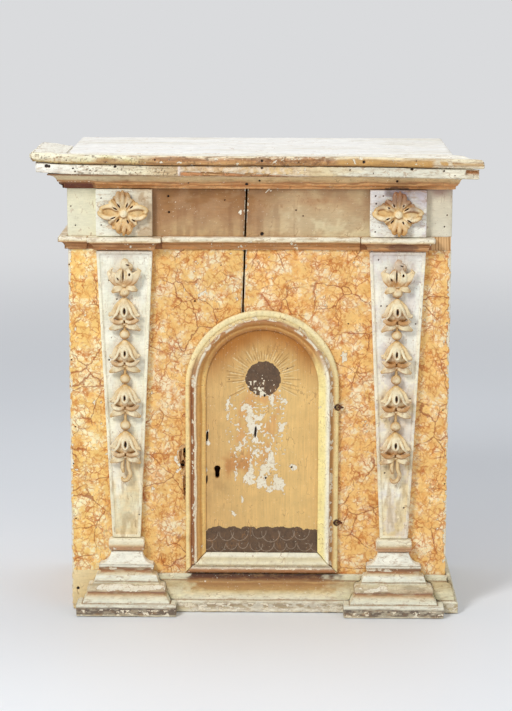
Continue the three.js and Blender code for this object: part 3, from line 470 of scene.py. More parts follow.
def layered_paint(name, mix_paint, along, grime_and_shade_amount=0.85, speck_size=0.0022, speckle=0.5, soil=0.0, dust=0.0):
    """A painted and aged wooden surface. The marks kept on the skin say where the paint has gone down to white gesso
    and where the gesso has gone down to pine, and a fine speckle makes the edges of each loss ragged. Crests are paler,
    as rubbed paint and as a painted highlight, and hollows darker, as grime and as painted shade."""
    paints = bpy.context.scene.tabernacle_paints
    tree = new_material(name).node_tree
    place = add(tree, "TexCoord").outputs["Object"]
    paint, paint_height = mix_paint(tree, place)
    speck = add(tree, "TexNoise", {"Vector": place, "Scale": 1 / speck_size, "Detail": 3.0, "Roughness": 0.6})
    marks, masks, rims = {}, {}, {}
    for mark in ("Loss", "Wood", "Pit", "Hollow", "Crest"):
        marks[mark] = add(tree, "Attribute", attribute_name=mark).outputs["Fac"]
    for mark in ("Loss", "Wood", "Pit"):
        ragged = add(tree, "Math", {0: speck, 1: 0.55, 2: marks[mark]}, **TIMES_PLUS)
        masks[mark] = add(tree, "MapRange", {0: ragged, 1: 0.7, 2: 0.86}, **SMOOTH)
        if mark != "Wood":
            rim = add(tree, "MapRange", {0: ragged, 1: 0.42, 2: 0.72}, **SMOOTH)
            rim = add(tree, "Math", {0: rim, 1: masks[mark]}, **MINUS)
            rims[mark] = add(tree, "Math", {0: rim, 1: 0.75}, use_clamp=True, **TIMES)
    cloudy = add(tree, "TexNoise", {"Vector": place, "Scale": 1 / 0.018, "Detail": 4.0})
    smudge = add(tree, "MapRange", {0: cloudy, 1: 0.3, 2: 0.7, 3: 0.91, 4: 1.06})
    paint = add(tree, "HueSaturation", {"Value": smudge, "Color": paint})
    dots = add(tree, "TexNoise", {"Vector": place, "Scale": 1 / 0.0034, "Detail": 3.0, "Roughness": 0.7})
    fly_specks = add(tree, "MapRange", {0: dots, 1: 0.62, 2: 0.7, 4: speckle}, **SMOOTH)
    # Crests are rubbed paler: worn paint, and a painted highlight on every edge.
    reached = add(tree, "Math", {0: marks["Crest"], 1: -0.22, 2: dots}, **TIMES_PLUS)
    rubbed = add(tree, "MapRange", {0: reached, 1: 0.36, 2: 0.27, 4: 0.8}, **SMOOTH)
    fibre = {"X": (0.4, 1.0, 1.0), "Y": (1.0, 0.4, 1.0), "Z": (1.0, 1.0, 0.4)}[along]
    drawn_out = add(tree, "VectorMath", {0: place, 1: fibre}, **TIMES)
    crackle = wander(tree, drawn_out, 0.011, 0.02, cloudy, 0.5, 0.5)
    for share, text in ((fly_specks, "#8C6238"), (rubbed, "#F4ECD4"), (crackle, "#94683C")):
        paint = add(tree, "Mix", {0: share, 6: paint, 7: text}, **RGBA)
    if soil:
        film = add(tree, "TexNoise", {"Vector": drawn_out, "Scale": 1 / 0.0065, "Detail": 5.0, "Roughness": 0.72})
        dark = add(tree, "MapRange", {0: film, 1: 0.5, 2: 0.68, 4: soil}, **SMOOTH)
        bright = add(tree, "MapRange", {0: film, 1: 0.5, 2: 0.34, 4: soil}, **SMOOTH)
        soiled = add(tree, "Mix", {0: dark, 6: paint, 7: "#A47C4E"}, **RGBA)
        value = add(tree, "MapRange", {0: bright, 3: 1.0, 4: 1.16})
        paint = add(tree, "HueSaturation", {"Value": value, "Color": soiled})
    chalk = add(tree, "Mix", {0: cloudy, 6: paints.gesso, 7: "#E2D2AC"}, **RGBA)
    split = wander(tree, place, 0.0075, 0.035, dots, 0.42, 0.6)
    chalk = add(tree, "Mix", {0: split, 6: chalk, 7: "#B48E60"}, **RGBA)
    wood, grain = pine(tree, place, along, dust)
    # Hollows darken with grime, and the same darkening is painted shade in the hollows.
    dirt = add(tree, "MapRange", {0: speck, 1: 0.3, 2: 0.55, 4: grime_and_shade_amount}, **SMOOTH)
    hollow_dirt_and_shade = add(tree, "Math", {0: dirt, 1: marks["Hollow"]}, **TIMES)
    for share, layer in (
        (rims["Loss"], "#94623A"), (rims["Pit"], "#94623A"), (masks["Loss"], chalk), (masks["Wood"], wood),
        (hollow_dirt_and_shade, paints.grime_and_painted_shade), (masks["Pit"], "#2A1C14"),
    ):
        paint = add(tree, "Mix", {0: share, 6: paint, 7: layer}, **RGBA)
    lost = add(tree, "Math", {0: masks["Loss"], 1: -0.6, 2: paint_height}, **TIMES_PLUS)
    ribbed = add(tree, "Math", {0: masks["Wood"], 1: grain}, **TIMES)
    height = add(tree, "Math", {0: ribbed, 1: -0.5, 2: lost}, **TIMES_PLUS)
    dull = add(tree, "MapRange", {0: masks["Loss"], 3: 0.62, 4: 0.85})
    add(tree, "OutputMaterial", {"Surface": finish_surface(tree, paint, dull, height, 0.0006)})


def bend(tree, place, wave, reach):
    """The place pushed about by smooth noise, so that a pattern drawn from it wavers as a hand does."""
    noise = add(tree, "TexNoise", {"Vector": place, "Scale": 1 / wave, "Detail": 4.0, "Roughness": 0.55})
    offset = add(tree, "VectorMath", {0: noise.outputs["Color"], 1: (0.5, 0.5, 0.5)}, **MINUS)
    return add(tree, "VectorMath", {0: offset, 1: (reach, reach, reach), 2: place}, **TIMES_PLUS)


def break_line(tree, away, half_width, reach, gate, low, most):
    """How much of a line lies at each place, from how far away its middle is. It breaks off where the gate is low."""
    line = add(tree, "MapRange", {0: away, 1: half_width, 2: reach, 3: 1.0, 4: 0.0}, **SMOOTH)
    broken = add(tree, "MapRange", {0: gate, 1: low, 2: low + 0.14, 4: most}, **SMOOTH)
    return add(tree, "Math", {0: line, 1: broken}, **TIMES)


def wander(tree, place, size, half_width, gate, low, most):
    """A wandering line, which runs where smooth noise passes its middle value."""
    noise = add(tree, "TexNoise", {"Vector": place, "Scale": 1 / size, "Detail": 2.0, "Roughness": 0.5})
    off = add(tree, "Math", {0: noise, 1: 0.5}, **MINUS)
    off = add(tree, "Math", {0: off}, operation="ABSOLUTE")
    return break_line(tree, off, 0.35 * half_width, half_width, gate, low, most)


def net(tree, place, size, half_width, reach, gate, low, most):
    """A net of lines."""
    feeds = {"Vector": place, "Scale": 1 / size, "Randomness": 1.0}
    cells = add(tree, "TexVoronoi", feeds, feature="DISTANCE_TO_EDGE")
    return break_line(tree, cells, half_width, reach, gate, low, most)


def mix_marble(tree, place):
    """Imitation yellow marble: glazes dabbed over a pale ground. Clouds of cream and orange, 10 to 40 mm wide, lie
    under curling orange lines, and a few long brown veins wander over the whole."""
    paints = bpy.context.scene.tabernacle_paints
    far_bent = bend(tree, place, 0.03, 0.03)
    near_bent = bend(tree, place, 0.011, 0.012)
    clouds = add(tree, "TexNoise", {"Vector": far_bent, "Scale": 1 / 0.036, "Detail": 3.0, "Roughness": 0.6})
    dabs = add(tree, "TexNoise", {"Vector": near_bent, "Scale": 1 / 0.008, "Detail": 4.0, "Roughness": 0.75})
    light = add(tree, "Math", {0: dabs, 1: 0.8, 2: clouds}, **TIMES_PLUS)
    pale = add(tree, "MapRange", {0: light, 1: 0.83, 2: 1.07}, **SMOOTH)
    blotches = add(tree, "TexNoise", {"Vector": far_bent, "Scale": 1 / 0.017, "Detail": 5.0, "Roughness": 0.75})
    warm = add(tree, "MapRange", {0: blotches, 1: 0.49, 2: 0.66, 4: 0.66}, **SMOOTH)
    fade = add(tree, "TexNoise", {"Vector": place, "Scale": 1 / 0.03, "Detail": 3.0})
    gate = add(tree, "TexNoise", {"Vector": far_bent, "Scale": 1 / 0.06, "Detail": 2.0})
    flow = bend(tree, place, 0.02, 0.016)
    curls = wander(tree, flow, 0.021, 0.03, fade, 0.4, 0.68)
    curled = bend(tree, near_bent, 0.006, 0.006)
    fine = net(tree, curled, 0.0115, 0.035, 0.12, dabs, 0.42, 0.76)
    middling = net(tree, near_bent, 0.022, 0.012, 0.052, fade, 0.46, 0.74)
    forks = net(tree, flow, 0.05, 0.006, 0.023, gate, 0.42, 0.8)
    marble = paints.marble_ground
    for share, layer in (
        (pale, paints.marble_light), (warm, paints.marble_orange), (fine, "#D68E40"), (curls, "#CC7A28"),
        (middling, "#C06A28"), (forks, paints.marble_vein),
    ):
        marble = add(tree, "Mix", {0: share, 6: marble, 7: layer}, **RGBA)
    return marble, dabs


def brush(tree, place, stretch, darkest, lightest):
    """The colour kept on the skin, brushed thin, so that it is lighter and darker by turns. Stretch is how many
    strokes lie in a metre each way."""
    tint = add(tree, "Attribute", attribute_name="Tint")
    brushed = add(tree, "VectorMath", {0: place, 1: stretch}, **TIMES)
    strokes = add(tree, "TexNoise", {"Vector": brushed, "Scale": 1.0, "Detail": 4.0})
    value = add(tree, "MapRange", {0: strokes, 1: 0.25, 2: 0.75, 3: darkest, 4: lightest})
    return add(tree, "HueSaturation", {"Value": value, "Color": tint}), strokes


def mix_tint(tree, place):
    """Distemper brushed on lengthwise."""
    return brush(tree, place, (90.0, 260.0, 420.0), 0.9, 1.06)


def mix_wall(tree, place):
    """Imitation marble where the Marble mark is set, and plain tinted distemper elsewhere."""
    marble, marble_height = mix_marble(tree, place)
    plain, plain_height = mix_tint(tree, place)
    mark = add(tree, "Attribute", attribute_name="Marble").outputs["Fac"]
    share = add(tree, "MapRange", {0: mark, 1: 0.44, 2: 0.56})
    tone = add(tree, "Attribute", attribute_name="Tone")
    toned = add(tree, "Mix", {0: 1.0, 6: marble, 7: tone}, blend_type="MULTIPLY", **RGBA)
    wall = add(tree, "Mix", {0: share, 6: plain, 7: toned}, **RGBA)
    return wall, add(tree, "Mix", {0: share, 2: plain_height, 3: marble_height})


def mix_door_paint(tree, place):
    """Ochre distemper brushed up and down over gold size, with the tarnished silver leaf of the host and the clouds
    and the lines that were scratched through it."""
    ochre, strokes = brush(tree, place, (420.0, 300.0, 26.0), 0.88, 1.08)
    tarnish = add(tree, "TexNoise", {"Vector": place, "Scale": 1 / 0.006, "Detail": 4.0, "Roughness": 0.7})
    leaf = add(tree, "Mix", {0: tarnish, 6: "#2C1E12", 7: "#7C5E42"}, **RGBA)
    masks = {}
    for mark in ("Silver", "Line"):
        kept = add(tree, "Attribute", attribute_name=mark).outputs["Fac"]
        ragged = add(tree, "Math", {0: tarnish, 1: 0.6, 2: kept}, **TIMES_PLUS)
        masks[mark] = add(tree, "MapRange", {0: ragged, 1: 0.72, 2: 0.86}, **SMOOTH)
    silvered = add(tree, "Mix", {0: masks["Silver"], 6: ochre, 7: leaf}, **RGBA)
    line_colour = bpy.context.scene.tabernacle_paints.silver_line
    drawn = add(tree, "Mix", {0: masks["Silver"], 6: "#F8E6B4", 7: line_colour}, **RGBA)
    share = add(tree, "Math", {0: masks["Line"], 1: 0.6}, **TIMES)
    height = add(tree, "Math", {0: masks["Line"], 1: -0.8, 2: strokes}, **TIMES_PLUS)
    return add(tree, "Mix", {0: share, 6: silvered, 7: drawn}, **RGBA), height


def mix_carved(tree, place):
    """Carved ornament in cream distemper, with the yellow ochre that once imitated gold still in its hollows, deepened
    there as painted shade.
    """
    tint = add(tree, "Attribute", attribute_name="Tint")
    hollow = add(tree, "Attribute", attribute_name="Hollow").outputs["Fac"]
    cloudy = add(tree, "TexNoise", {"Vector": place, "Scale": 1 / 0.012, "Detail": 4.0})
    value = add(tree, "MapRange", {0: cloudy, 1: 0.3, 2: 0.7, 3: 0.93, 4: 1.05})
    cream = add(tree, "HueSaturation", {"Value": value, "Color": tint})
    deep = add(tree, "MapRange", {0: hollow, 1: 0.03, 2: 0.6, 4: 0.9}, **SMOOTH)
    return add(tree, "Mix", {0: deep, 6: cream, 7: "#B47A38"}, **RGBA), cloudy


def mix_bare(tree, place):
    """No paint: the pine below shows through everywhere, so only a thin grey film of dust is mixed here."""
    dust = add(tree, "TexNoise", {"Vector": place, "Scale": 1 / 0.03, "Detail": 3.0})
    return add(tree, "Mix", {0: dust, 6: "#B08A5E", 7: "#8C6B47"}, **RGBA), dust


def mix_iron(name, metal, oxide, metallic):
    """Forged iron that has rusted in damp churches: brown crust in lumps about 2 mm wide over dark metal."""
    tree = new_material(name).node_tree
    place = add(tree, "TexCoord").outputs["Object"]
    crust = add(tree, "TexNoise", {"Vector": place, "Scale": 1 / 0.004, "Detail": 5.0, "Roughness": 0.65})
    share = add(tree, "MapRange", {0: crust, 1: 0.38, 2: 0.6}, **SMOOTH)
    rusted = add(tree, "Mix", {0: share, 6: metal, 7: oxide}, **RGBA)
    rough = add(tree, "MapRange", {0: share, 3: 0.45, 4: 0.85})
    add(tree, "OutputMaterial", {"Surface": finish_surface(tree, rusted, rough, crust, 0.0004, metallic)})


# The paints that more than one piece wears
LENGTHWISE, SIDEWAYS = "Tinted distemper on gesso", "Tinted distemper on side gesso"
UPRIGHT = "Tinted distemper on upright gesso"
MARBLED = "Marbled distemper on gesso"


class MixPaints(bpy.types.Operator):
    """Mixes the paints, woods and metals of the tabernacle"""

    bl_idname = "tabernacle.mix_paints"
    bl_label = "Paints"

    def execute(self, context):
        paints = context.scene.tabernacle_paints
        layered_paint(MARBLED, mix_wall, "Z")
        layered_paint(LENGTHWISE, mix_tint, "X", soil=0.5)
        layered_paint(UPRIGHT, mix_tint, "Z", soil=0.26)
        layered_paint(SIDEWAYS, mix_tint, "Y", soil=0.5)
        layered_paint("Ochre and silver on gesso", mix_door_paint, "Z")
        layered_paint("Carved cream and ochre", mix_carved, "Z", grime_and_shade_amount=0.72, speck_size=0.0016, soil=0.3)
        layered_paint("White distemper on the top", mix_tint, "X", speckle=0.25, soil=0.12)
        layered_paint("Bare upright pine", mix_bare, "Z", dust=0.75)
        layered_paint("Bare lengthwise pine", mix_bare, "X", dust=0.75)
        mix_iron("Rusted forged iron", paints.iron, paints.rust, 0.55)
        mix_iron("Rolled spring steel", paints.steel, "#5B4637", 0.85)
        return {"FINISHED"}


# Pieces

HALF_WIDTH = 300  # of the body
ARCHITRAVE_FOOT, FRIEZE_FOOT, FRIEZE_HEIGHT = 584.5, 606, 74


def age_piece(
    node, seed, paint, slot, colour_at, shape=None, pitch=None, body="carcass", soften=1, prepare=None, joint=None,
    **wear,
):
    """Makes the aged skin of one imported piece. Colour_at gives the paint at each point, and shape moves the points.
    Joint says which points lie at a tight joint, where the skin keeps its sharp form."""
    pitch = pitch or bpy.context.scene.tabernacle_sizes.moulding_pitch
    skin = Skin("aged_" + node, [packed_form(node)], pitch)
    if prepare:
        prepare(skin)
    tight = joint(skin.points)[:, None] if joint else 0
    skin.points += (1 - tight) * (skin.relaxed(soften) - skin.points)
    if shape:
        shape(skin)
    rest = skin.points.copy()
    skin.tight = joint(rest) if joint else 0
    weather(skin, seed, **{name: value(rest) if callable(value) else value for name, value in wear.items()})
    skin.tint("Tint", np.clip(colour_at(rest, skin), 0, 1))
    record_wear(skin, seed)
    skin.finish(paint, body, node)
    return skin


# Front planks

JAMB_HOLE = ((-120, 251, 7.5, 22), (-118, 206, 2, 20), (-117, 258, 3.2, 7.5), (-121, 239, 3, 7))
PLANK_HOLES = (
    (-142, 668, 1.9), (-141, 643, 1.9), (-54, 662.5, 1.2), (-171, 642, 1.4), (57, 647, 1.3), (68, 638, 1.2),
    (4, 609.5, 3.0), (-294, 652, 1.2), (-287, 622, 1.2), (-298, 560, 1.3), (292, 640, 1.2), (288, 622, 1.3),
    (-101, 503, 1.6), (-296, 408, 1.4), (-291, 300, 1.3), (-295, 240, 1.2), (-292, 150, 1.3), (93, 420, 1.1),
    (140, 468, 1.2), (295, 470, 1.2), (291, 330, 1.2), (296, 210, 1.3), (-290, 34.5, 2.6), (-60, 560, 1.1),
    (-117, 257, 3.0), (-118, 262, 2.4), (-121, 237, 2.6), (-120, 243, 2.0), (-117.5, 204, 1.6), (-117.5, 198, 1.4),
)
BARE_BAY_RIGHT, BARE_BAY_TOP = -262.0, 65.5  # of the wall that the lost left base moulding laid bare
LEFT_BAY_END, RIGHT_BAY_START = -200, 210  # the cream side bays lie outside these
FOOT_TOP = 140  # the foot is a yellower cream up to here
CRACK_X, CRACK_Z = (-40, -19), (0, 717)  # its foot and its top


def wall_colour(points, skin):
    """Cream side bays, and a frieze between the blocks that grows darker towards its top, where the cornice's shade is
    painted in. The marble below is mixed in the paint itself.
    """
    x, z = points[:, 0], points[:, 2]
    uneven = sway(points, 40, 301)
    height = np.clip((z - FRIEZE_FOOT) / FRIEZE_HEIGHT + 0.8 * uneven, 0, 1)
    streaked = height + 0.25 * sway(points, (70, 70, 12), 303)
    # The frieze and the bays grow darker towards their tops: painted shade under the cornice.
    left = bands(streaked, {0: "#C9A878", 0.3: "#AE8459", 0.7: "#9B6E3F", 1: "#8E6232"})
    right = bands(streaked, {0: "#E0CFA6", 0.35: "#DAC89E", 0.75: "#CDB286", 1: "#AE865C"})
    dark_ends = np.maximum(rise(150, 172, x + 20 * uneven), fall(-164, -140, x + 20 * uneven))
    frieze = shade(
        blend(left, right, rise(-10, 60, x + 60 * uneven)),
        (0.35 * patches(points, (9, 20, 70), 305, 0.5, 0.64) * (x < 60), "#8A5C36"),
        (0.45 * patches(points, (24, 20, 16), 307, 0.53, 0.64), "#B08A62"),
        (0.6 * dark_ends * rise(0.2, 0.6, height), "#A27A55"),
    )
    bay_left = bands(height, {0: "#EDEACF", 1: "#E2DCBC"})
    bay_right = bands(height, {0: "#E4DCC4", 0.7: "#DACFB4", 1: "#B79A88"})
    colours = np.where((x > RIGHT_BAY_START)[:, None], bay_right, frieze)
    colours = np.where((x < LEFT_BAY_END)[:, None], bay_left, colours)
    colours = shade(colours, (fall(FRIEZE_FOOT - 2, FRIEZE_FOOT, z), "#A9703F"))
    return np.where((z < FOOT_TOP)[:, None], bands(np.clip(z / 60, 0, 1), {0: "#E8CE98", 1: "#F2DBA8"}), colours)


def wall_tone(points):
    """The marble is yellower in the left strip, redder in the right strip and palest beside the crack."""
    stops = {-300: "#FFFFF0", -250: "#FFFFF6", -160: "#F6F0EA", -20: "#F6F2EA", 0: "#FFF8F0", 120: "#FAF2EC",
             180: "#FAF2E8", 300: "#FFF9F2"}
    return bands(points[:, 0] + 10 * sway(points, 60, 333), stops)


def wall_loss(points):
    """Paint is lost at the planks' outer edges, round the torn jamb, beside the upper hinge and along the crack."""
    x, z = points[:, 0], points[:, 2]
    edge = rise(293, 299.5, np.abs(x) + 5 * sway(points, 12, 311)) * (z < FRIEZE_FOOT)
    patch = spot(points, -99, 517, 17, 12, 313, 0.5) + spot(points, -111, 521, 7, 6, 315, 0.4)
    hole = spot(points, -121, 248, 12, 30, 317, 0.3)
    hinge = spot(points, 134, 415, 6, 9, 319, 0.4)
    crack = fall(1.0, 3.2, np.abs(x - np.interp(z, CRACK_Z, CRACK_X))) * (mottle(points, 14, 323) > 0.5)
    return 0.34 * edge + 0.24 * np.clip(patch + hole, 0, 1) + 0.4 * hinge + 0.3 * crack


def wall_wood(points):
    """Bare wood shows in the torn jamb, in the lost right bay of the architrave and under the lost left base."""
    x, z = points[:, 0], points[:, 2]
    hole = spot(points, -120, 250, 9, 23, 317, 0.5) + spot(points, -118, 205, 2.5, 22, 327, 0.3)
    bay = rise(268.5, 270, x) * within(ARCHITRAVE_FOOT, 586, FRIEZE_FOOT, 607, z)
    left_bay = fall(BARE_BAY_RIGHT - 2, BARE_BAY_RIGHT, x) * fall(BARE_BAY_TOP - 1.5, BARE_BAY_TOP + 0.5, z)
    left_bay *= mottle(points, 30, 329)
    return 0.8 * np.clip(hole + bay, 0, 1) + 0.42 * left_bay


def refine_wall(skin):
    """Finer mesh in two rounds at the holes and the torn jamb, and in one at the outer edges and a lost patch."""
    for rounds in (1, 2):
        x, z = skin.points[:, 0], skin.points[:, 2]
        near = np.zeros(len(x), bool)
        for hole_x, hole_z, radius in PLANK_HOLES:
            near |= np.hypot(x - hole_x, z - hole_z) < radius * 2 + 3 / rounds
        for hole_x, hole_z, reach_x, reach_z in JAMB_HOLE:
            near |= (np.abs(x - hole_x) < reach_x + 6) & (np.abs(z - hole_z) < reach_z + 6)
        if rounds == 1:
            near |= np.abs(np.abs(x) - HALF_WIDTH) < 6
            near |= (np.abs(x + 99) < 24) & (np.abs(z - 515) < 22)
        skin.refine(near & (skin.points[:, 1] < 4))


def shape_wall(skin):
    """The jamb is torn open beside the lock, in a hollow with splintered upright ridges."""
    points = skin.points
    facing = points[:, 1] < 6
    for index, (x, z, reach_x, reach_z) in enumerate(JAMB_HOLE):
        away = np.hypot((points[:, 0] - x) / reach_x, (points[:, 2] - z) / reach_z)
        away += 0.9 * sway(points, (5, 6, 12), 341 + index)
        deep = 9 if index > 1 else 1.5 + 5 * patches(points, (2.6, 3, 24), 343, 0.3, 0.7)
        points[:, 1] += np.where(facing, fall(0.55, 1.0, away) * deep, 0)


class FrontPlanks(bpy.types.Operator):
    """Builds the two marbled front planks with the open crack between them"""

    bl_idname = "tabernacle.front_planks"
    bl_label = "Front planks"

    def execute(self, context):
        pitch = context.scene.tabernacle_sizes.board_pitch
        for node, seed in (("front_plank_left", 31), ("front_plank_right", 32)):
            skin = age_piece(
                node, seed, MARBLED, "marble_paint", wall_colour, shape_wall, pitch, soften=0, prepare=refine_wall,
                flaking=0.26, bare=0.12, uneven=0.25, holes=PLANK_HOLES, more_loss=wall_loss, more_wood=wall_wood,
            )
            x, z = skin.points[:, 0], skin.points[:, 2]
            skin.mark("Marble", (z < CAP_LOW[2]) & ~((z < BARE_BAY_TOP) & (x < BARE_BAY_RIGHT + 4)))
            skin.tint("Tone", wall_tone(skin.points))
        return {"FINISHED"}


# Boards behind the front

TOP_UNDERSIDE, SIDE_INSIDE = 724, 294  # bare wood begins below the one and inside the other


def top_colour(points, skin):
    colours = bands(mottle(points, (120, 30, 30), 401), {0.3: "#E8E3D4", 0.5: "#F7F5EE", 0.8: "#FBFAF5"})
    return shade(colours, (0.5 * fall(-6, 6, points[:, 1] + 8 * sway(points, 25, 403)), "#D9C394"))


def side_colour(points, skin):
    return bands(mottle(points, 60, 405), {0.3: "#D8B06E", 0.7: "#EFD298"})


def dusty_colour(points, skin):
    return bands(np.zeros(len(points)), {0: "#C29A6C"})


class CarcassBoards(bpy.types.Operator):
    """Builds the sides, the back, the top, the floor and the floor's cleats"""

    bl_idname = "tabernacle.carcass_boards"
    bl_label = "Carcass boards"

    def execute(self, context):
        pitch = context.scene.tabernacle_sizes.board_pitch * 1.5
        age_piece(
            "deck_board", 41, "White distemper on the top", "grey_white_paint", top_colour, None, pitch * 0.8,
            soften=0, bare=0.17, edge=0.3, more_wood=lambda points: 0.5 * (points[:, 2] < TOP_UNDERSIDE),
        )
        for node, seed, outward in (("side_board_left", 42, -1), ("side_board_right", 43, 1)):
            skin = age_piece(
                node, seed, MARBLED, "marble_paint", side_colour, None, pitch, soften=0, flaking=0.33, edge=0.3,
                more_wood=lambda points, outward=outward: 0.9 * (outward * points[:, 0] < SIDE_INSIDE),
                more_loss=lambda points: 0.16 * rise(246, 264, points[:, 1]),
            )
            skin.mark("Marble", np.ones(len(skin.points)))
            skin.tint("Tone", np.tile([0.94, 0.9, 0.84], (len(skin.points), 1)))
        for node, seed, grain in (
            ("back_plank_left", 44, "upright"), ("back_plank_right", 45, "upright"), ("floor_board", 46, "lengthwise"),
            ("floor_cleat_left", 47, "lengthwise"), ("floor_cleat_right", 48, "lengthwise"),
        ):
            age_piece(
                node, seed, f"Bare {grain} pine", "bare_pine", dusty_colour, None, pitch, soften=0, flaking=0.2,
                uneven=0.5, more_wood=0.62,
            )
        return {"FINISHED"}


# Cornice

CORONA_HOLES = (
    (-327, 718.6, 3.0), (-323, 718, 2.4), (-286, 715, 1.6), (-283, 710, 1.3), (-221.5, 718, 2.3), (4, 716.8, 2.2),
    (139, 714, 1.3), (234, 716, 2.5), (283, 713, 1.5), (-260, 712, 1.0), (-190, 709, 1.0), (-150, 713, 1.0),
    (175, 709, 0.9), (300, 706, 1.0),
)
CROWN_HOLES = ((4, 728, 2.2), (160, 727, 2.4), (-160, 729, 1.6), (240, 729, 1.2), (-296, 728, 1.0), (60, 726, 1.6))
BED_HOLES = ((-20, 688, 2.6), (0, 694, 1.6), (213, 694, 2.0), (-110, 690, 1.2))
LOST_FROM, LOST_TO = -122.0, 100.0  # where the corona's face is lost
CROWN_LEFT = node_box("cornice_crown_left")[0][0]
CORONA_LEFT = node_box("cornice_corona_left")[0][0]
RETURN_RIGHT = -320  # the returns on the left are drawn in up to here
CROWN_FACE = -34
NOTCH_FROM = 316.0


def lift(points):
    """The cornice has warped away from the top at its left end and sagged a little at its right end."""
    warp = bpy.context.scene.tabernacle_sizes.cornice_rise * MM
    raised = np.interp(points[:, 0], [-352, -300, -120, 150, 345], [warp, warp * 0.4, 0, 0, -0.7 * warp])
    return raised * (1 - rise(-27, -14, points[:, 1]) * rise(-330, -303, points[:, 0]))


def draw_in(points, left_end, new_left_end):
    """The left end of the cornice is worn short of its full reach."""
    x = points[:, 0]
    share = (new_left_end - RETURN_RIGHT) / (left_end - RETURN_RIGHT)
    points[:, 0] = np.where(x < RETURN_RIGHT, RETURN_RIGHT + (x - RETURN_RIGHT) * share, x)


def shape_crown(skin):
    """The crown's top edge is nibbled, most of all at its right middle and its ends, and its face is grooved."""
    points = skin.points
    draw_in(points, CROWN_LEFT, CROWN_LEFT + 7)
    x = points[:, 0]
    points[:, 2] += lift(points)
    chip = mottle(points, 9, 501) + 0.5 * (lumps(points, 3.2, 503) - 0.5)
    rough = within(-30, 0, 105, 118, x) * 0.9 + 0.25 + 0.5 * fall(-290, -250, x)
    points[:, 1] += 2.2 * rise(0.35, 0.75, chip) * rough * (points[:, 1] < CROWN_FACE)
    points[:, 2] -= np.maximum(0, x - 342) * 0.4
    at_left, at_right = fall(CROWN_LEFT + 9, CROWN_LEFT + 20, x), rise(334, 344, x)
    points[:, 0] += (4.0 * at_left - 3.0 * at_right) * patches(points, (8, 6, 5), 505, 0.4, 0.7)
    skin.grooved = patches(points, (34, 9, 2.7), 539, 0.53, 0.62) * (points[:, 1] < CROWN_FACE)
    points[:, 1] += 0.7 * skin.grooved


def shape_corona(skin):
    """Part of the corona's gessoed face is lost, and its right end is broken."""
    points = skin.points
    draw_in(points, CORONA_LEFT, CORONA_LEFT + 8)
    x, z = points[:, 0], points[:, 2]
    ragged = 16 * sway(points, 18, 511)
    lost = rise(LOST_FROM - 0.6, LOST_FROM + 0.6, x) * fall(20, LOST_TO, x + ragged)
    low = fall(708.5, 711.5, z + 0.22 * ragged + 0.035 * np.maximum(0, x + 82))
    front = points[:, 1] < -30
    lost = lost * np.maximum(low, 0.25 * patches(points, 6, 513, 0.45, 0.6))
    points[:, 1] += np.where(front, 3.2 * lost, 0)
    notch = rise(NOTCH_FROM, NOTCH_FROM + 2, x) * within(711, 713, 717, 718, z) * front
    points[:, 1] += 6 * notch
    skin.lost = np.maximum(lost, notch)
    points[:, 2] += lift(points)
    points[:, 0] -= np.where(x > 328, 2.5 * mottle(points, 5, 517), 0)
    skin.grooved = patches(points, (30, 9, 2.4), 545, 0.54, 0.63) * front
    points[:, 1] += 0.5 * skin.grooved


def shape_bed(skin):
    """The foot of the bed moulding stays on the front while its top follows the corona up."""
    points = skin.points
    share = (points[:, 2] - BED_LOW[2]) / (BED_HIGH[2] - BED_LOW[2])
    points[:, 2] += share * np.minimum(lift(points), 1.5)
    skin.gone = fall(-262, -252, points[:, 0] + 8 * sway(points, 8, 521)) * fall(689, 691, points[:, 2])
    points[:, 1] += np.where(points[:, 1] < -3, 6.5 * skin.gone, 0)


def crown_colour(points, skin):
    x, z = points[:, 0], points[:, 2]
    level = np.clip((z - CROWN_LOW[2] - lift(points)) / (CROWN_HIGH[2] - CROWN_LOW[2]), 0, 1)
    uneven = sway(points, (26, 12, 9), 531)
    left = bands(level + 1.1 * uneven, {0: "#B0864A", 0.3: "#CDB474", 0.6: "#E4DCAE", 1: "#F2EED0"})
    left = shade(
        left, (0.36 * patches(points, (24, 10, 7), 537, 0.5, 0.62) * rise(-300, -240, x), "#C08C68"),
        (0.7 * fall(-320, -240, x + 40 * uneven) * rise(0.1, 0.4, level), "#FAF2D6"),
    )
    middle = bands(level + 0.9 * uneven, {0: "#B98650", 0.35: "#C99B62", 0.65: "#C08A5A", 1: "#F0E4C2"})
    right = bands(level + 0.5 * uneven, {0: "#B98848", 0.45: "#D0A25E", 0.7: "#C89E64", 1: "#EFE2BE"})
    colours = blend(left, middle, rise(-205, -150, x + 50 * uneven))
    colours = blend(colours, right, rise(112, 128, x + 20 * uneven))
    clotted = within(-16, 0, 104, 112, x) * patches(points, 7, 533, 0.5, 0.62) * (level > 0.2)
    pale = within(262, 272, 296, 304, x) * patches(points, 14, 535, 0.42, 0.5)
    worn_end = rise(292, 306, x + 14 * uneven) * (1 - 0.7 * within(0.3, 0.4, 0.55, 0.65, level))
    grooves = skin.grooved * (0.5 + rise(-280, -200, x)) * (1 - 0.4 * rise(110, 130, x))
    specks = rise(0.7, 0.76, lumps(points, 2.3, 547) * 0.7 + 0.3 * mottle(points, 20, 549) * 1.3)
    top = rise(0.85, 1.0, level) * rise(-40, -30, points[:, 1])
    inner_side = rise(-326, -318, x) * rise(-30, -22, points[:, 1])
    return shade(
        colours, (0.7 * clotted, "#8E5E3C"), (0.7 * pale, "#E4DCC2"), (0.8 * worn_end, "#F2E8C8"),
        (0.42 * grooves, "#8E6038"), (0.7 * specks * fall(100, 130, x), "#5E4028"),
        (np.maximum(top, inner_side), "#F3EFE0"),
    )


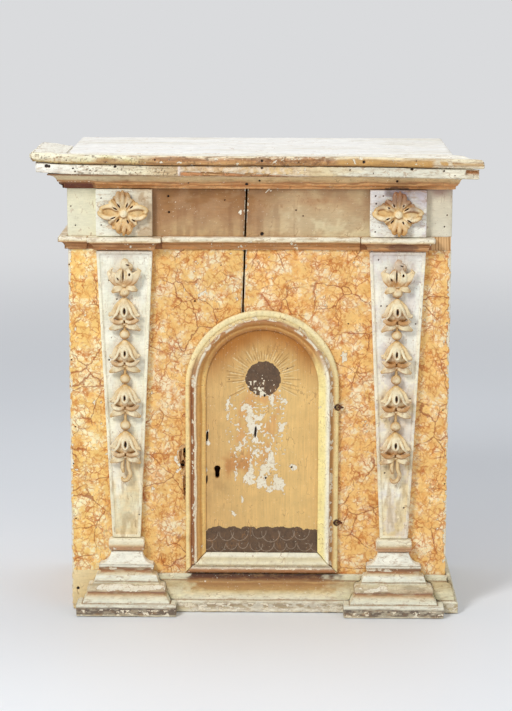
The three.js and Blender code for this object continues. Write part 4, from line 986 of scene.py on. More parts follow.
def corona_colour(points, skin):
    x, z = points[:, 0], points[:, 2]
    uneven = sway(points, (22, 12, 8), 541)
    stops = {-340: "#FDFBF0", -285: "#FBF7E4", -230: "#F4EDD2", -180: "#ECE2C0", -130: "#D6BC90", -84: "#D3B083",
             -76: "#DDB98A", 40: "#E0C08A", 110: "#EAD9AE", 150: "#EAE6D0", 230: "#E6E3CE", 300: "#F2EDD6",
             345: "#F6EED2"}
    low = fall(0.0, 0.3, (z - CORONA_LOW[2] - lift(points)) / 16 + 0.3 * uneven)
    left_of_loss = fall(-130, -120, x)
    dirt = patches(points, (10, 8, 4), 543, 0.5, 0.62) * rise(-240, -190, x) * left_of_loss
    specks = rise(0.72, 0.78, lumps(points, 2.2, 547)) * left_of_loss * rise(-290, -280, x)
    return shade(
        bands(x + 60 * uneven, stops), (0.38 * low, "#AC8C5C"), (skin.lost, "#CB8A56"),
        (3.2 * skin.lost * (1 - skin.lost), "#F6EBD2"), (0.3 * dirt, "#B89C74"),
        (skin.grooved * (0.18 + 0.12 * left_of_loss * rise(-300, -270, x)), "#9A7A52"), (0.7 * specks, "#5E4A34"),
        (0.85 * within(-126, -124, -121.5, -120.5, x), "#F8EADF"),
    )


def corona_wood(points):
    x = points[:, 0]
    lost = rise(LOST_FROM, LOST_FROM + 2, x) * fall(20, 90, x) * fall(708, 711, points[:, 2])
    return 0.4 * patches(points, 12, 561, 0.45, 0.55) * lost


def bed_colour(points, skin):
    height = (points[:, 2] - BED_LOW[2]) / (BED_HIGH[2] - BED_LOW[2])
    uneven = sway(points, (34, 12, 7), 551)
    level = height + 0.35 * uneven
    stops = {0.0: "#E4A466", 0.12: "#F8BE7C", 0.2: "#C8844A", 0.28: "#DE9A5C", 0.36: "#F6BE7C", 0.46: "#B67A4A",
             0.55: "#DCB27A", 0.75: "#E6C794", 0.93: "#E0C69A", 1.0: "#C49468"}
    return shade(
        bands(level, stops), (0.45 * fall(-240, -120, points[:, 0] + 60 * uneven) * rise(0.45, 0.6, level), "#D9CFAE"),
        (0.46 * patches(points, (30, 10, 6), 553, 0.55, 0.68) * fall(0.4, 0.5, level), "#B87440"),
        (0.7 * rise(0.88, 0.97, height) * patches(points, (50, 9, 9), 557, 0.36, 0.5), "#9C5E38"),
        (0.75 * spot(points, 213, 679, 20, 6, 555, 0.5), "#4A2C28"), (skin.gone, "#7C4530"),
    )


class Cornice(bpy.types.Operator):
    """Builds the crown, the corona and the bed moulding on the front, and their returns on the left"""

    bl_idname = "tabernacle.cornice"
    bl_label = "Cornice"

    def execute(self, context):
        for end, seed, paint in (("front", 51, LENGTHWISE), ("left", 54, SIDEWAYS)):
            for part, step, colour_at, shape, holes, wear in (
                ("crown", 0, crown_colour, shape_crown, CROWN_HOLES,
                 {"flaking": 0.36, "edge": 0.2, "uneven": 1.2, "chipped": 2.4}),
                ("corona", 1, corona_colour, shape_corona, CORONA_HOLES,
                 {"flaking": 0.33, "bare": 0.16, "edge": 0.2, "uneven": 0.9, "chipped": 2.2, "more_wood": corona_wood}),
                ("bed", 2, bed_colour, shape_bed, BED_HOLES,
                 {"flaking": 0.27, "edge": 0.16, "uneven": 0.5, "chipped": 0.8}),
            ):
                age_piece(
                    f"cornice_{part}_{end}", seed + step, paint, "cream_paint", colour_at, shape,
                    holes=holes if end == "front" else (), **wear,
                )
        return {"FINISHED"}


# Frieze blocks and architrave

BLOCK_HOLES = ((-246, 666, 1.2), (-246, 624, 1.3), (-226, 621, 1.1), (180, 671, 1.5), (181, 659, 1.4), (180, 615, 1.2),
               (-238, 640, 1.0), (192, 671, 1.0), (186, 622, 1.0))


def block_colour(points, skin):
    x, z = points[:, 0], points[:, 2]
    uneven = sway(points, 24, 601)
    soot = (x > 0) * rise(640, 676, z + 30 * uneven) * rise(195, 215, x + 16 * uneven)
    brown = patches(points, (14, 12, 18), 607, 0.46, 0.6) * (x < 0) * rise(-212, -186, x + 20 * uneven)
    return shade(
        bands((z - FRIEZE_FOOT) / FRIEZE_HEIGHT + uneven, {0: "#F4F3E8", 0.5: "#F3F1E2", 1: "#E4E1D4"}),
        (0.4 * (x < 0), "#F2F3D8"), (0.62 * rise(-207, -184, x + 22 * uneven) * (x < 0), "#D0B890"),
        (0.65 * soot, "#8A7280"), (0.7 * spot(points, 214, 678, 22, 10, 609, 0.5), "#5E4148"),
        (0.4 * (x > 0) * patches(points, 20, 603, 0.5, 0.6), "#CFC3CC"),
        (0.5 * spot(points, -228, 622, 8, 5, 605, 0.5), "#D9B98C"), (0.5 * brown, "#B08E62"),
    )


def shape_architrave(skin):
    """The cavetto was scraped with a toothed iron, which left it full of lengthwise lines."""
    level = (skin.points[:, 2] - CAP_LOW[2]) / (CAP_HIGH[2] - CAP_LOW[2])
    skin.scraped = patches(skin.points, (70, 70, 2.3), 615, 0.5, 0.6) * fall(0.6, 0.68, level)
    skin.points += 0.5 * skin.scraped[:, None] * -skin.normals()


def architrave_colour(points, skin):
    level = (points[:, 2] - CAP_LOW[2]) / (CAP_HIGH[2] - CAP_LOW[2]) + 0.2 * sway(points, (40, 12, 6), 611)
    stops = {0: "#C48C54", 0.08: "#A2693A", 0.17: "#CE9458", 0.28: "#AC7240", 0.38: "#C08650", 0.5: "#8C5A30",
             0.58: "#BC8654", 0.66: "#D8BE90", 0.76: "#F0E5C6", 1: "#F6EFD8"}
    return shade(
        bands(level, stops), (0.5 * skin.scraped, "#835026"),
        (0.45 * patches(points, (60, 60, 2.6), 617, 0.58, 0.66) * fall(0.5, 0.6, level), "#E6BA84"),
        (0.5 * patches(points, (26, 20, 3), 619, 0.56, 0.66) * rise(0.62, 0.7, level), "#C0A06E"),
        (0.5 * within(-160, -150, 160, 172, points[:, 0]) * fall(0.5, 0.62, level), "#C98A4A"),
        (0.6 * spot(points, 222, 590, 24, 8, 613, 0.4), "#5A3028"),
    )


class FriezeAndArchitrave(bpy.types.Operator):
    """Builds the two frieze blocks and the architrave with its caps"""

    bl_idname = "tabernacle.frieze_and_architrave"
    bl_label = "Frieze and architrave"

    def execute(self, context):
        for node, seed in (
            ("frieze_block_left", 61), ("architrave_cap_left", 63), ("frieze_block_right", 62),
            ("architrave_cap_right", 64), ("architrave_center", 65), ("architrave_bay_left", 66),
            ("architrave_side_left", 67),
        ):
            if node.startswith("frieze"):
                age_piece(node, seed, LENGTHWISE, "grey_white_paint", block_colour, bare=0.1, holes=BLOCK_HOLES)
            else:
                age_piece(
                    node, seed, LENGTHWISE, "cream_paint", architrave_colour, shape_architrave, flaking=0.34, bare=0.17,
                    edge=0.26, uneven=0.8, chipped=2.0,
                )
        return {"FINISHED"}


# Pilasters, collars and pedestals

PILASTER_HOLES = (
    (-235, 537, 1.4), (-224, 526, 1.5), (-222.5, 507, 1.3), (-221.6, 431, 1.4), (-236, 410, 1.4), (-167, 374, 1.5),
    (197.5, 558, 1.4), (186, 571, 1.3), (190.5, 498, 1.4), (200, 498, 1.2), (200, 230, 1.3), (231, 173, 1.4),
    (-232, 446, 1.0), (-228, 330, 1.1), (245, 470, 1.2), (238, 350, 1.1), (195, 395, 1.1), (-190, 160, 1.2),
)
PILASTER_TOP, PILASTER_LENGTH = 584, 470
PLINTH_TOP, TORUS_FOOT, TORUS_TOP, NECK_TOP = 13.5, 34, 54, 76  # levels of the pedestal's profile
PEDESTAL_STEPS, COLLAR_STEP, BASE_STEPS = (20.4, 54.0, 75.6, 80.8), 106.6, (20.5, 50.5)


def pilaster_colour(points, skin):
    x, z = points[:, 0], points[:, 2]
    uneven = sway(points, (22, 12, 40), 621)
    streak = sway(points, (7, 10, 60), 625) * np.where(x < 0, 1.0, 0.5)
    stops = {0: "#F8F8EA", 0.2: "#FDFAEA", 0.55: "#FFF8DE", 0.8: "#F2DFB2", 1.0: "#E6CE9C"}
    stain = patches(points, (14, 10, 16), 623, 0.52, 0.66)
    return shade(
        bands(uneven + 0.4 * streak + (PILASTER_TOP - z) / PILASTER_LENGTH, stops),
        (0.65 * fall(-11.7, -10.9, points[:, 1]), "#F8F0D0"), (0.35 * stain * (x < 0), "#E4E4C6"),
        (0.3 * (x < 0) * rise(210, 330, z), "#FBFADA"), (0.4 * stain * (x > 0), "#DDD2D2"),
        (0.5 * patches(points, (8, 10, 30), 627, 0.54, 0.7) * fall(190, 330, z), "#B79A6C"),
        # Painted shade under the architrave cap: greyer and mauve towards the pilaster's top.
        (0.45 * rise(560, 582, z + 20 * uneven), "#B9A6A4"),
    )


def score_lines(skin, levels, depth):
    """Cuts thin level lines into the face of a moulding, as a scratch stock leaves them at the edge of each step."""
    height = skin.points[:, 2] + 1.6 * sway(skin.points, (40, 20, 30), 647)
    skin.scored = np.zeros(len(height))
    for level in levels:
        skin.scored = np.maximum(skin.scored, fall(0.35, 1.25, np.abs(height - level)))
    normals = skin.normals()
    skin.scored *= rise(0.25, 0.5, np.hypot(normals[:, 0], normals[:, 1]))
    skin.points -= depth * skin.scored[:, None] * normals


def shape_pedestal(skin):
    score_lines(skin, PEDESTAL_STEPS, 0.8)


def pedestal_colour(points, skin):
    x, z = points[:, 0], points[:, 2]
    stops = {0: "#E6DCC0", 2: "#DCCFAE", 3.2: "#766654", 13: "#6C5D50", 14.8: "#DAD3BA", 17: "#EFECD8", 24: "#E9E6CE",
             29: "#E6DDBE", 33: "#D2B68C", 36: "#B4865C", 38.4: "#8A6450", 40: "#C6AA86", 45: "#D6C4A0",
             51: "#DACDA8", 55: "#ECE9D0", 63: "#F0EEDA", 66.5: "#DECFA8", 68.5: "#B4845A", 73: "#9A6A4A",
             75.6: "#6E5040", 76.6: "#E9E1C8", 80: "#F4F1DE", 101: "#F8F5E2"}
    pale = patches(points, (24, 14, 7), 633, 0.5, 0.62) * (z > TORUS_FOOT) * (z < NECK_TOP)
    grey = patches(points, (20, 14, 5), 632, 0.54, 0.66) * (z > TORUS_FOOT) * (z < TORUS_TOP)
    crust = patches(points, (9, 8, 3.5), 635, 0.48, 0.62) * (z < PLINTH_TOP)
    return shade(
        bands(z + 3.4 * sway(points, (26, 14, 5), 631), stops), (0.5 * pale, "#E0D4B0"), (0.45 * grey, "#8E7A5C"),
        ((0.66 + 0.16 * (x > 0)) * crust, "#C0B49A"), (0.62 * skin.scored, "#7A6A4C"),
    )


def pedestal_loss(points):
    """Gesso stands bare in a long chip on the torus, in specks on the plinth and along the ledges."""
    z = points[:, 2]
    uneven = sway(points, (16, 10, 6), 637)
    torus = rise(40, 42, z + 9 * uneven) * fall(49, 51, z + 7 * uneven)
    torus *= patches(points, (46, 14, 40), 639, 0.42, 0.5)
    ledge = within(71, 72, 76, 77, z + 5 * uneven) * patches(points, 24, 643, 0.5, 0.56)
    plinth = fall(10, 12, z) * patches(points, (9, 9, 6), 645, 0.61, 0.65)
    return 0.75 * np.maximum(np.maximum(torus, ledge), plinth)


def shape_collar(skin):
    score_lines(skin, (COLLAR_STEP,), 0.7)


def collar_colour(points, skin):
    stops = {101: "#BA8E66", 106: "#CC9E76", 109: "#C6A074", 111: "#DCC498", 113.5: "#EDE2C0", 121: "#F2EACC"}
    return shade(bands(points[:, 2] + 3 * sway(points, 12, 641), stops), (0.4 * skin.scored, "#8E6644"))


class PilastersAndPedestals(bpy.types.Operator):
    """Builds the two tapering pilasters, their collars and their pedestals"""

    bl_idname = "tabernacle.pilasters_and_pedestals"
    bl_label = "Pilasters and pedestals"

    def execute(self, context):
        for side, seed in (("left", 71), ("right", 72)):
            for part, step, paint, colour_at, shape, wear in (
                ("pilaster_", 0, UPRIGHT, pilaster_colour, None,
                 {"bare": 0.14, "edge": 0.16, "holes": PILASTER_HOLES}),
                ("pilaster_collar_", 2, LENGTHWISE, collar_colour, shape_collar, {"flaking": 0.34, "bare": 0.18}),
                ("pedestal_", 4, LENGTHWISE, pedestal_colour, shape_pedestal,
                 {"bare": 0.14, "uneven": 1.0, "chipped": 2.0, "more_loss": pedestal_loss}),
            ):
                age_piece(part + side, seed + step, paint, "cream_paint", colour_at, shape, **wear)
        return {"FINISHED"}


# Base mouldings

SCRIBE_LENGTH, SCRIBE_LAP = 12.0, 1.3  # how far in an end is drawn, and how far it runs into the pedestal


def side_line(node, side):
    """The heights of a pedestal's profile, and how far its side stands at each of them. A ledge has two reaches."""
    points = packed_form(node)[0]
    middle = (points[:, 0].min() + points[:, 0].max()) / 2
    levels, reach = [], []
    for level in np.unique(np.round(points[:, 2], 1)):
        across = side * (points[np.abs(points[:, 2] - level) < 0.07, 0] - middle)
        outward = np.unique(np.round(across[across > 5], 1))[::-1]
        for step, out in enumerate(outward[:2]):
            levels.append(level + 0.05 * step)
            reach.append(middle + side * out)
    return np.array(levels), np.array(reach)


def meet(skin, end, node, side):
    """The end of a base moulding is scribed to the side of a pedestal, whose profile narrows upwards."""
    levels, reach = side_line(node, side)
    x = skin.points[:, 0]
    gap = side * (end - np.interp(skin.points[:, 2], levels, reach)) + SCRIBE_LAP
    share = np.clip(1 - side * (x - end) / SCRIBE_LENGTH, 0, 1)
    skin.points[:, 0] = x - side * share * np.maximum(gap, 0)


def shape_side_base(skin):
    score_lines(skin, BASE_STEPS, 0.7)


def shape_middle_base(skin):
    shape_side_base(skin)
    meet(skin, BASE_LOW[0], "pedestal_left", 1)
    meet(skin, BASE_HIGH[0], "pedestal_right", -1)


def shape_bay_base(skin):
    shape_side_base(skin)
    meet(skin, node_box("base_moulding_bay_right")[0][0], "pedestal_right", 1)


def base_colour(points, skin):
    """Painted shadow of the door's rail: dark brown at the top below the door, fading to ochre lower down, and pale on
    both sides of that.
    """
    x, z = points[:, 0], points[:, 2]
    # These stops rise under the door into a painted shadow of the door's rail, darkest brown at the top.
    brown = {0: "#CDB68C", 4: "#EDE4CC", 8: "#C2B08E", 13: "#A8967A", 17: "#D9CFB2", 24: "#EDE4C6", 33: "#DEC894",
             38: "#BE955A", 46: "#A47440", 49.5: "#BE955A", 51.5: "#8A5A32", 54.5: "#62391F", 62: "#341C0E"}
    pale = {0: "#C4B08A", 2: "#E6DDBE", 8: "#DACBA4", 14: "#B4A27C", 17: "#EDE8CC", 20: "#F0EACE", 23: "#E6DEB8",
            33: "#E6DCB6", 42: "#CFBC8E", 49: "#C4AF82", 51.5: "#DCD5B2", 62: "#E6DFC0"}
    level = z + 6 * sway(points, (30, 14, 6), 651)
    beside_door = rise(100, 128, np.abs(x - DOOR_MIDDLE) + 70 * sway(points, (17, 12, 9), 657))
    return shade(
        blend(bands(level, brown), bands(level, pale), beside_door), (0.5 * skin.scored, "#7E6E4E"),
        (0.55 * patches(points, (11, 11, 6), 653, 0.5, 0.56) * (z < 19), "#EEE8D4"),
    )


def base_loss(points):
    return 0.6 * patches(points, (12, 10, 5), 655, 0.55, 0.59) * fall(13, 17, points[:, 2])


class BaseMouldings(bpy.types.Operator):
    """Builds the base moulding between the pedestals and round the right corner"""

    bl_idname = "tabernacle.base_mouldings"
    bl_label = "Base mouldings"

    def execute(self, context):
        for part, seed, shape in (
            ("center", 81, shape_middle_base), ("bay_right", 82, shape_bay_base), ("side_right", 83, shape_side_base)
        ):
            age_piece(
                "base_moulding_" + part, seed, LENGTHWISE, "cream_paint", base_colour, shape, bare=0.16, uneven=0.9,
                chipped=1.7, more_loss=base_loss,
            )
        return {"FINISHED"}


# Carved ornament. Forms are closed, with their places given as x, out from the wood, and z.


def curve(stops, count):
    """Smooth points through the stops."""
    stops = np.array(stops, float)
    padded = np.vstack([2 * stops[0] - stops[1], stops, 2 * stops[-1] - stops[-2]])
    found = []
    for place in np.linspace(0, len(stops) - 1 - 1e-6, count):
        index = int(place)
        t = place - index
        a, b, c, d = padded[index : index + 4]
        found.append(0.5 * (2 * b + (c - a) * t + (2 * a - 5 * b + 4 * c - d) * t**2 + (3 * b - a - 3 * c + d) * t**3))
    return np.array(found)


def blob(middle, radii, rings=14, sides=20):
    """An egg."""
    points = [(0, 0, radii[2])]
    for ring in range(1, rings):
        lean = math.pi * ring / rings
        for side in range(sides):
            angle = 2 * math.pi * side / sides
            points.append(
                (radii[0] * math.sin(lean) * math.cos(angle), radii[1] * math.sin(lean) * math.sin(angle),
                 radii[2] * math.cos(lean))
            )
    points.append((0, 0, -radii[2]))
    faces = []
    for side in range(sides):
        after = (side + 1) % sides
        faces.append((0, 1 + side, 1 + after))
        for ring in range(rings - 2):
            low = 1 + ring * sides
            faces.append((low + side, low + sides + side, low + sides + after, low + after))
        faces.append((len(points) - 1, 1 + (rings - 2) * sides + after, 1 + (rings - 2) * sides + side))
    return np.array(points) + np.array(middle), faces


def petal(path, widths, thicks, rings=22, sides=14, furrow=0.0):
    """A leaf along a path, with its half width and half thickness at each stop. A furrow sinks its middle line."""
    line = curve(path, rings)
    places = np.linspace(0, 1, rings)
    half_width = np.interp(places, np.linspace(0, 1, len(widths)), widths)
    half_thick = np.interp(places, np.linspace(0, 1, len(thicks)), thicks)
    run = np.gradient(line, axis=0)
    run[:, 1] = 0
    run /= np.linalg.norm(run, axis=1)[:, None] + 1e-9
    across = np.stack([run[:, 2], np.zeros(rings), -run[:, 0]], axis=1)
    points, faces = [], []
    for i in range(rings):
        for side, angle in enumerate(np.linspace(0, 2 * math.pi, sides, endpoint=False)):
            out = half_thick[i] * (math.sin(angle) - furrow * max(0.0, math.sin(angle)) ** 6)
            points.append(line[i] + across[i] * half_width[i] * math.cos(angle) + np.array([0, out, 0]))
            if i < rings - 1:
                after = (side + 1) % sides
                faces.append((i * sides + side, i * sides + after, (i + 1) * sides + after, (i + 1) * sides + side))
    faces.append(tuple(range(sides)))
    faces.append(tuple(range((rings - 1) * sides, rings * sides))[::-1])
    return np.array(points), faces


def mirrored(form):
    points, faces = form
    return points * np.array([-1, 1, 1]), [face[::-1] for face in faces]


def turned(form, angle):
    """A form turned round the middle in the plane of the front."""
    points, faces = form
    cos, sin = math.cos(math.radians(angle)), math.sin(math.radians(angle))
    x = points[:, 0] * cos - points[:, 2] * sin
    z = points[:, 0] * sin + points[:, 2] * cos
    return np.stack([x, points[:, 1], z], axis=1), faces


def stray(rng, amount):
    """A small step either way, as a carver's hand makes it."""
    return float(rng.uniform(-amount, amount))


def curl(radius, from_angle, to_angle, count, middle_z=0.0, rise_z=0.0, out=0.0, dip=0.0):
    """A path round the eye of a flower."""
    turns = np.linspace(from_angle, to_angle, count)
    return [(radius * math.cos(t), out - dip * abs(math.sin(t)), middle_z + rise_z * math.sin(t)) for t in turns]


def bell_husk(rng):
    """A bellflower that hangs down: a cup with a raised and drilled eye, a petal at each side whose tip turns out,
    a thick lip below them, and two leaves that spread under it."""
    ring = curl(4.2, 0.3, 6.5, 14, -21, 7.6, 17.0, 0.28)
    forms = [
        blob((0, 5, -18), (14.5, 10.5, 15)),
        blob((0, 6, -6), (6.5, 6.5, 6.5)),
        blob((0, 5.5, -29), (18.5, 7.2, 9.5)),
        petal([(0, 9, -7), (0, 14, -15), (0, 15.5, -25), (0, 13.5, -35)], [3.0, 5.8, 6.2, 2.4], [3, 3.6, 3.4, 2.2]),
        blob((stray(rng, 0.6), 8, -42), (3.4, 4.6, 3.0)),
        petal(ring, [1.3], [1.8], rings=44, sides=8),
    ]
    for side in (1, -1):
        tip = -29.5 + stray(rng, 2.5)
        outer = [(4, 6, -5), (10.5, 9, -14), (16, 10.5, -23), (24 + stray(rng, 1.2), 11, tip)]
        ridge = [(4.5, 10, -7), (9, 13, -17), (12.5, 14, -26), (19, 13, -33.5)]
        lip = [(1.5, 12, -36), (8, 14, -38.5), (16, 14, -37), (22.5 + stray(rng, 1), 12.5, tip - 4)]
        leaf = [(0, 7, -43), (8, 11, -44.5), (16, 11, -47 + stray(rng, 1)),
                (24 + stray(rng, 1), 7, -51.5 + stray(rng, 1.5))]
        parts = [
            petal(outer, [3.6, 5.6, 5.2, 1.4], [3.2, 4.0, 3.6, 1.8], furrow=0.5),
            petal(ridge, [1.8, 2.4, 2.4, 1.3], [2.6, 2.8, 2.8, 1.8]),
            petal(lip, [2.6, 3.6, 3.6, 1.5], [3.0, 3.4, 3.2, 2.0]),
            petal(leaf, [3.0, 5.6, 5.8, 2.0], [3.2, 4.2, 3.8, 2.0], furrow=0.4),
            blob((22.5, 11, tip + 3.4), (2.4, 2.6, 2.8)),
        ]
        forms += [part if side == 1 else mirrored(part) for part in parts]
    return forms


def first_husk(rng):
    """An upright lily: a folded leaf at its top, broad petals that flare out to both sides round two curled ones,
    and two leaves that spread at its foot."""
    broad_left = [(-2, 8, -42), (-10, 11, -38), (-17, 12, -30), (-24.5, 10, -20 + stray(rng, 1))]
    broad_right = [(3, 8, -42), (12, 12, -36), (18, 12, -28), (26, 10, -19 + stray(rng, 1))]
    curled_left = [(-1, 9, -42), (-8, 13, -36), (-9.5, 14.5, -28), (-5, 12, -19)]
    curled_right = [(2, 9, -42), (8, 13, -35), (9.5, 14, -26), (5, 12, -16)]
    foot_left = [(0, 7, -45), (-7, 10, -46.5), (-13, 10.5, -50), (-19.5, 7, -55)]
    foot_right = [(1, 7, -45), (8, 10, -46), (14, 10, -48.5), (20.5, 7.5, -52.5)]
    return [
        blob((0, 5, -29), (13, 9, 14)),
        blob((0, 5, -33), (19, 6.5, 10)),
        petal(broad_left, [5, 8, 8.4, 3.0], [4, 4.4, 4.0, 2.0], furrow=0.6),
        petal(broad_right, [5, 7.4, 7.0, 2.4], [4, 4.4, 3.8, 2.0], furrow=0.6),
        petal(curled_left, [3.6, 5.8, 5.2, 2.2], [3.6, 3.8, 3.4, 2], furrow=0.7),
        petal(curled_right, [3.6, 5.4, 4.8, 2.2], [3.6, 3.8, 3.4, 2], furrow=0.4),
        petal([(1, 8, -24), (1.5, 11, -15), (1.5, 12.5, -7), (3, 9, -1.5)], [4.6, 7, 7, 3.6], [4, 4.4, 3.8, 2.4]),
        petal([(9, 7, -20), (9.5, 9.5, -13), (6, 11, -8)], [3.4, 4.4, 2.4], [3, 3.2, 2]),
        petal([(21, 9, -27), (24, 10.5, -21), (20, 11, -16)], [1.8, 2.2, 1.4], [2.2, 2.4, 1.6]),
        petal([(-19, 9, -27), (-21, 10.5, -20), (-17, 11, -15)], [1.8, 2.2, 1.4], [2.2, 2.4, 1.6]),
        petal(foot_left, [3.2, 6.0, 6.2, 2.2], [3, 3.8, 3.6, 2], furrow=0.5),
        petal(foot_right, [3.2, 6.0, 5.8, 2.0], [3, 3.8, 3.6, 2], furrow=0.5),
        blob((0, 8, -44), (4.2, 4.8, 3.0)),
    ]


def stalk():
    """Two strokes hang side by side from the last husk, and the longer one ends in a hook to the left."""
    short = [(-3, 6, -41), (-5, 7.5, -50), (-5, 7.5, -60), (-3.5, 7, -68)]
    long = [(3, 6, -41), (4, 7.5, -50), (4.5, 7.5, -60), (7.5, 7.5, -70), (3.5, 7, -78.5), (-3.5, 7, -80.5),
            (-7, 6, -75)]
    return [
        petal(short, [2.4, 3.2, 3.2, 2.2], [3.4, 3.8, 3.8, 2.4]),
        petal(long, [2.4, 3.2, 3.2, 3.4, 3.6, 3.2, 1.8], [3.4, 3.8, 3.8, 3.8, 3.6, 3.2, 2.2], rings=34),
    ]


def drill(skin, front, x, z, half_width, half_height, depth, lean=0.0):
    """A drilled and cut eye: an almond pit, dark inside. It leans to the left by a number of degrees."""
    cos, sin = math.cos(math.radians(lean)), math.sin(math.radians(lean))
    along_x, along_z = skin.points[:, 0] - x, skin.points[:, 2] - z
    across = (along_x * cos + along_z * sin) / half_width
    away = np.hypot(across, (along_z * cos - along_x * sin) / half_height)
    facing = skin.points[:, 1] < front
    skin.points[:, 1] += np.where(facing, depth * fall(0.45, 1.1, away), 0)
    skin.bored = np.maximum(skin.bored, np.where(facing, fall(0.35, 0.9, away), 0))


EYES_FROM, FULL_RELIEF = 5, 18  # how far out from the wood eyes are cut, and the ornament stands


def carve(node, forms, middle_x, top, back, seed, eyes, dye):
    """Joins the forms of an ornament, keeps its back flat on the wood behind it, cuts its eyes, paints shade into its
    recesses and under its forms, and ages it.
    """
    placed = []
    for points, faces in forms:
        out = np.maximum(points[:, 1], 0)
        placed.append((np.stack([middle_x + points[:, 0], back - out, top + points[:, 2]], axis=1), faces))
    skin = Skin("carved_" + node, placed, bpy.context.scene.tabernacle_sizes.carving_pitch)
    skin.points = skin.relaxed(2)
    skin.points[:, 1] = np.minimum(skin.points[:, 1], back)
    for x, z, *cut in eyes:
        drill(skin, back - EYES_FROM, middle_x + x, top + z, *cut)
    rest = skin.points.copy()
    normals = weather(skin, seed, flaking=0.28, bare=0.1, edge=0.1, uneven=0.2)
    uneven = sway(rest, 14, seed + 5)
    # Brown where the relief lies lowest, pale cream where it stands highest: painted shade in the recesses.
    stops = {0.0: "#B27E44", 0.25: "#C4924E", 0.48: "#E2BE80", 0.82: "#F9EDC8"}
    colours = bands((back - rest[:, 1]) / FULL_RELIEF + 0.4 * uneven, stops)
    # Painted shade under the forms: faces that turn downwards are darkened to brown.
    colours = shade(colours, (0.8 * rise(0.05, 0.75, -normals[:, 2] + 0.5 * uneven), "#A56E38"))
    skin.tint("Tint", np.clip(dye(colours, rest[:, 0] - middle_x, rest[:, 2] - top, uneven), 0, 1))
    record_wear(skin, seed)
    skin.finish("Carved cream and ochre", "carcass", node)


class Husks(bpy.types.Operator):
    """Carves the two strings of five husks that hang on the pilasters"""

    bl_idname = "tabernacle.husks"
    bl_label = "Husks"

    def execute(self, context):
        for side in ("left", "right"):
            boxes = [node_box(f"husk_{side}_{index}") for index in range(1, 6)]
            for index, (low, high) in enumerate(boxes, 1):
                seed = 900 + index * 10
                rng = np.random.default_rng(seed + (side == "right"))
                if index == 1:
                    forms = first_husk(rng)
                    eyes = [(-1.5, -28, 1.5, 11, 4.5), (8.5, -26, 1.9, 2.6, 6), (6, -11, 3.4, 1.2, 3, -25),
                            (-9.5, -33, 1.2, 3.4, 3, 35)]
                else:
                    forms = bell_husk(rng)
                    size = float(rng.uniform(0.8, 1.15))
                    eyes = [(stray(rng, 0.6), -21, 2.7 * size, 6.2 * size, 6)]
                if index < 5:
                    drop = boxes[index][1][2] - high[2] + 8.5
                    forms.append(blob((0, 5.5, drop), (8.4, 7.6, 8.2)))
                    forms.append(petal([(0, 5, -40), (0, 5, drop)], [2.4], [3]))
                else:
                    forms += stalk()

                def dye(colours, x, z, uneven, right=side == "right", first=index == 1):
                    # Ochre washed over the lip of each bell, and over the lower part of the first husk: painted shade
                    # below the cup and the petals.
                    lip = fall(-35, -29, z) * rise(-41.5, -40, z)
                    calyx = fall(-40, -24, z) * rise(-44.5, -43, z)
                    ochre = (calyx if first else lip) * rise(-0.3, 0.1, uneven)
                    umber = rise(0.0, 0.16, uneven) * fall(-30, -12, z) * right
                    smoked = (right and first) * rise(-26, -6, z + 20 * uneven)
                    return shade(
                        colours, ((0.85 if right else 0.65) * ochre, "#BC8034"), (0.5 * umber, "#B47C42"),
                        (np.full(len(z), 0.0 if right else 0.12), "#B08248"), (0.5 * smoked, "#B58E84"),
                    )

                carve(f"husk_{side}_{index}", forms, (low[0] + high[0]) / 2, high[2], high[1], seed, eyes, dye)
        return {"FINISHED"}


def spoon_petal(angle, reach, rng):
    """A broad petal whose two rims meet in a curled tip."""
    s = stray(rng, 1.5)
    upper = [(6, 6, 3), (15, 9, 8.0 + s), (26, 9.4, 8.6), (reach - 3, 7.5, 4.5), (reach, 5.5, 0.5 + s)]
    lower = [(6, 6, -3), (15, 8.6, -8), (25, 8.6, -8.4 + s), (reach - 5, 7, -5), (reach - 2, 5, -1 + s)]
    forms = [
        petal(upper, [2.8, 3.8, 4.4, 3.6, 1.8], [3, 3.6, 3.6, 3.0, 2.0]),
        petal(lower, [2.8, 3.6, 4.0, 3.2, 1.6], [3, 3.4, 3.4, 2.8, 2.0]),
        petal([(5, 4, 0), (19, 5.5, 0), (reach - 1, 5, 0)], [5, 10, 3.2], [3, 3.4, 2.2]),
        blob((reach - 4, 8, 1 + s), (3.6, 3.0, 3.8)),
    ]
    return [turned(form, angle) for form in forms]


def fan_petal(angle, reach, rng):
    """A petal of three ridges that spread like a fan, with furrows between them."""
    s = stray(rng, 1.5)
    upper = [(6, 6, 2.5), (15, 9, 6.4 + s), (25, 8.8, 8.6), (reach - 4, 6, 6.5 + s), (reach - 7, 5, 3.5)]
    lower = [(6, 6, -2.5), (15, 8.6, -6.2), (24, 8, -8.2 + s), (reach - 6, 5.5, -7 + s), (reach - 8, 5, -4)]
    forms = [
        petal(upper, [2.8, 3.8, 4.2, 3.2, 1.4], [3, 3.4, 3.4, 2.6, 1.6]),
        petal(lower, [2.8, 3.6, 4.0, 3.0, 1.4], [3, 3.2, 3.2, 2.6, 1.6]),
        petal([(6, 6, 0), (15, 8, 0.5), (26, 9.4, 0.6 * s), (reach, 6, 1.2 * s)], [2.4, 3.2, 3.6, 1.8],
              [2.6, 3.2, 3.2, 2.0]),
        petal([(5, 4, 0), (20, 5, 0), (reach - 3, 4, 0)], [5, 9.5, 3.6], [3, 3, 1.8]),
    ]
    return [turned(form, angle) for form in forms]


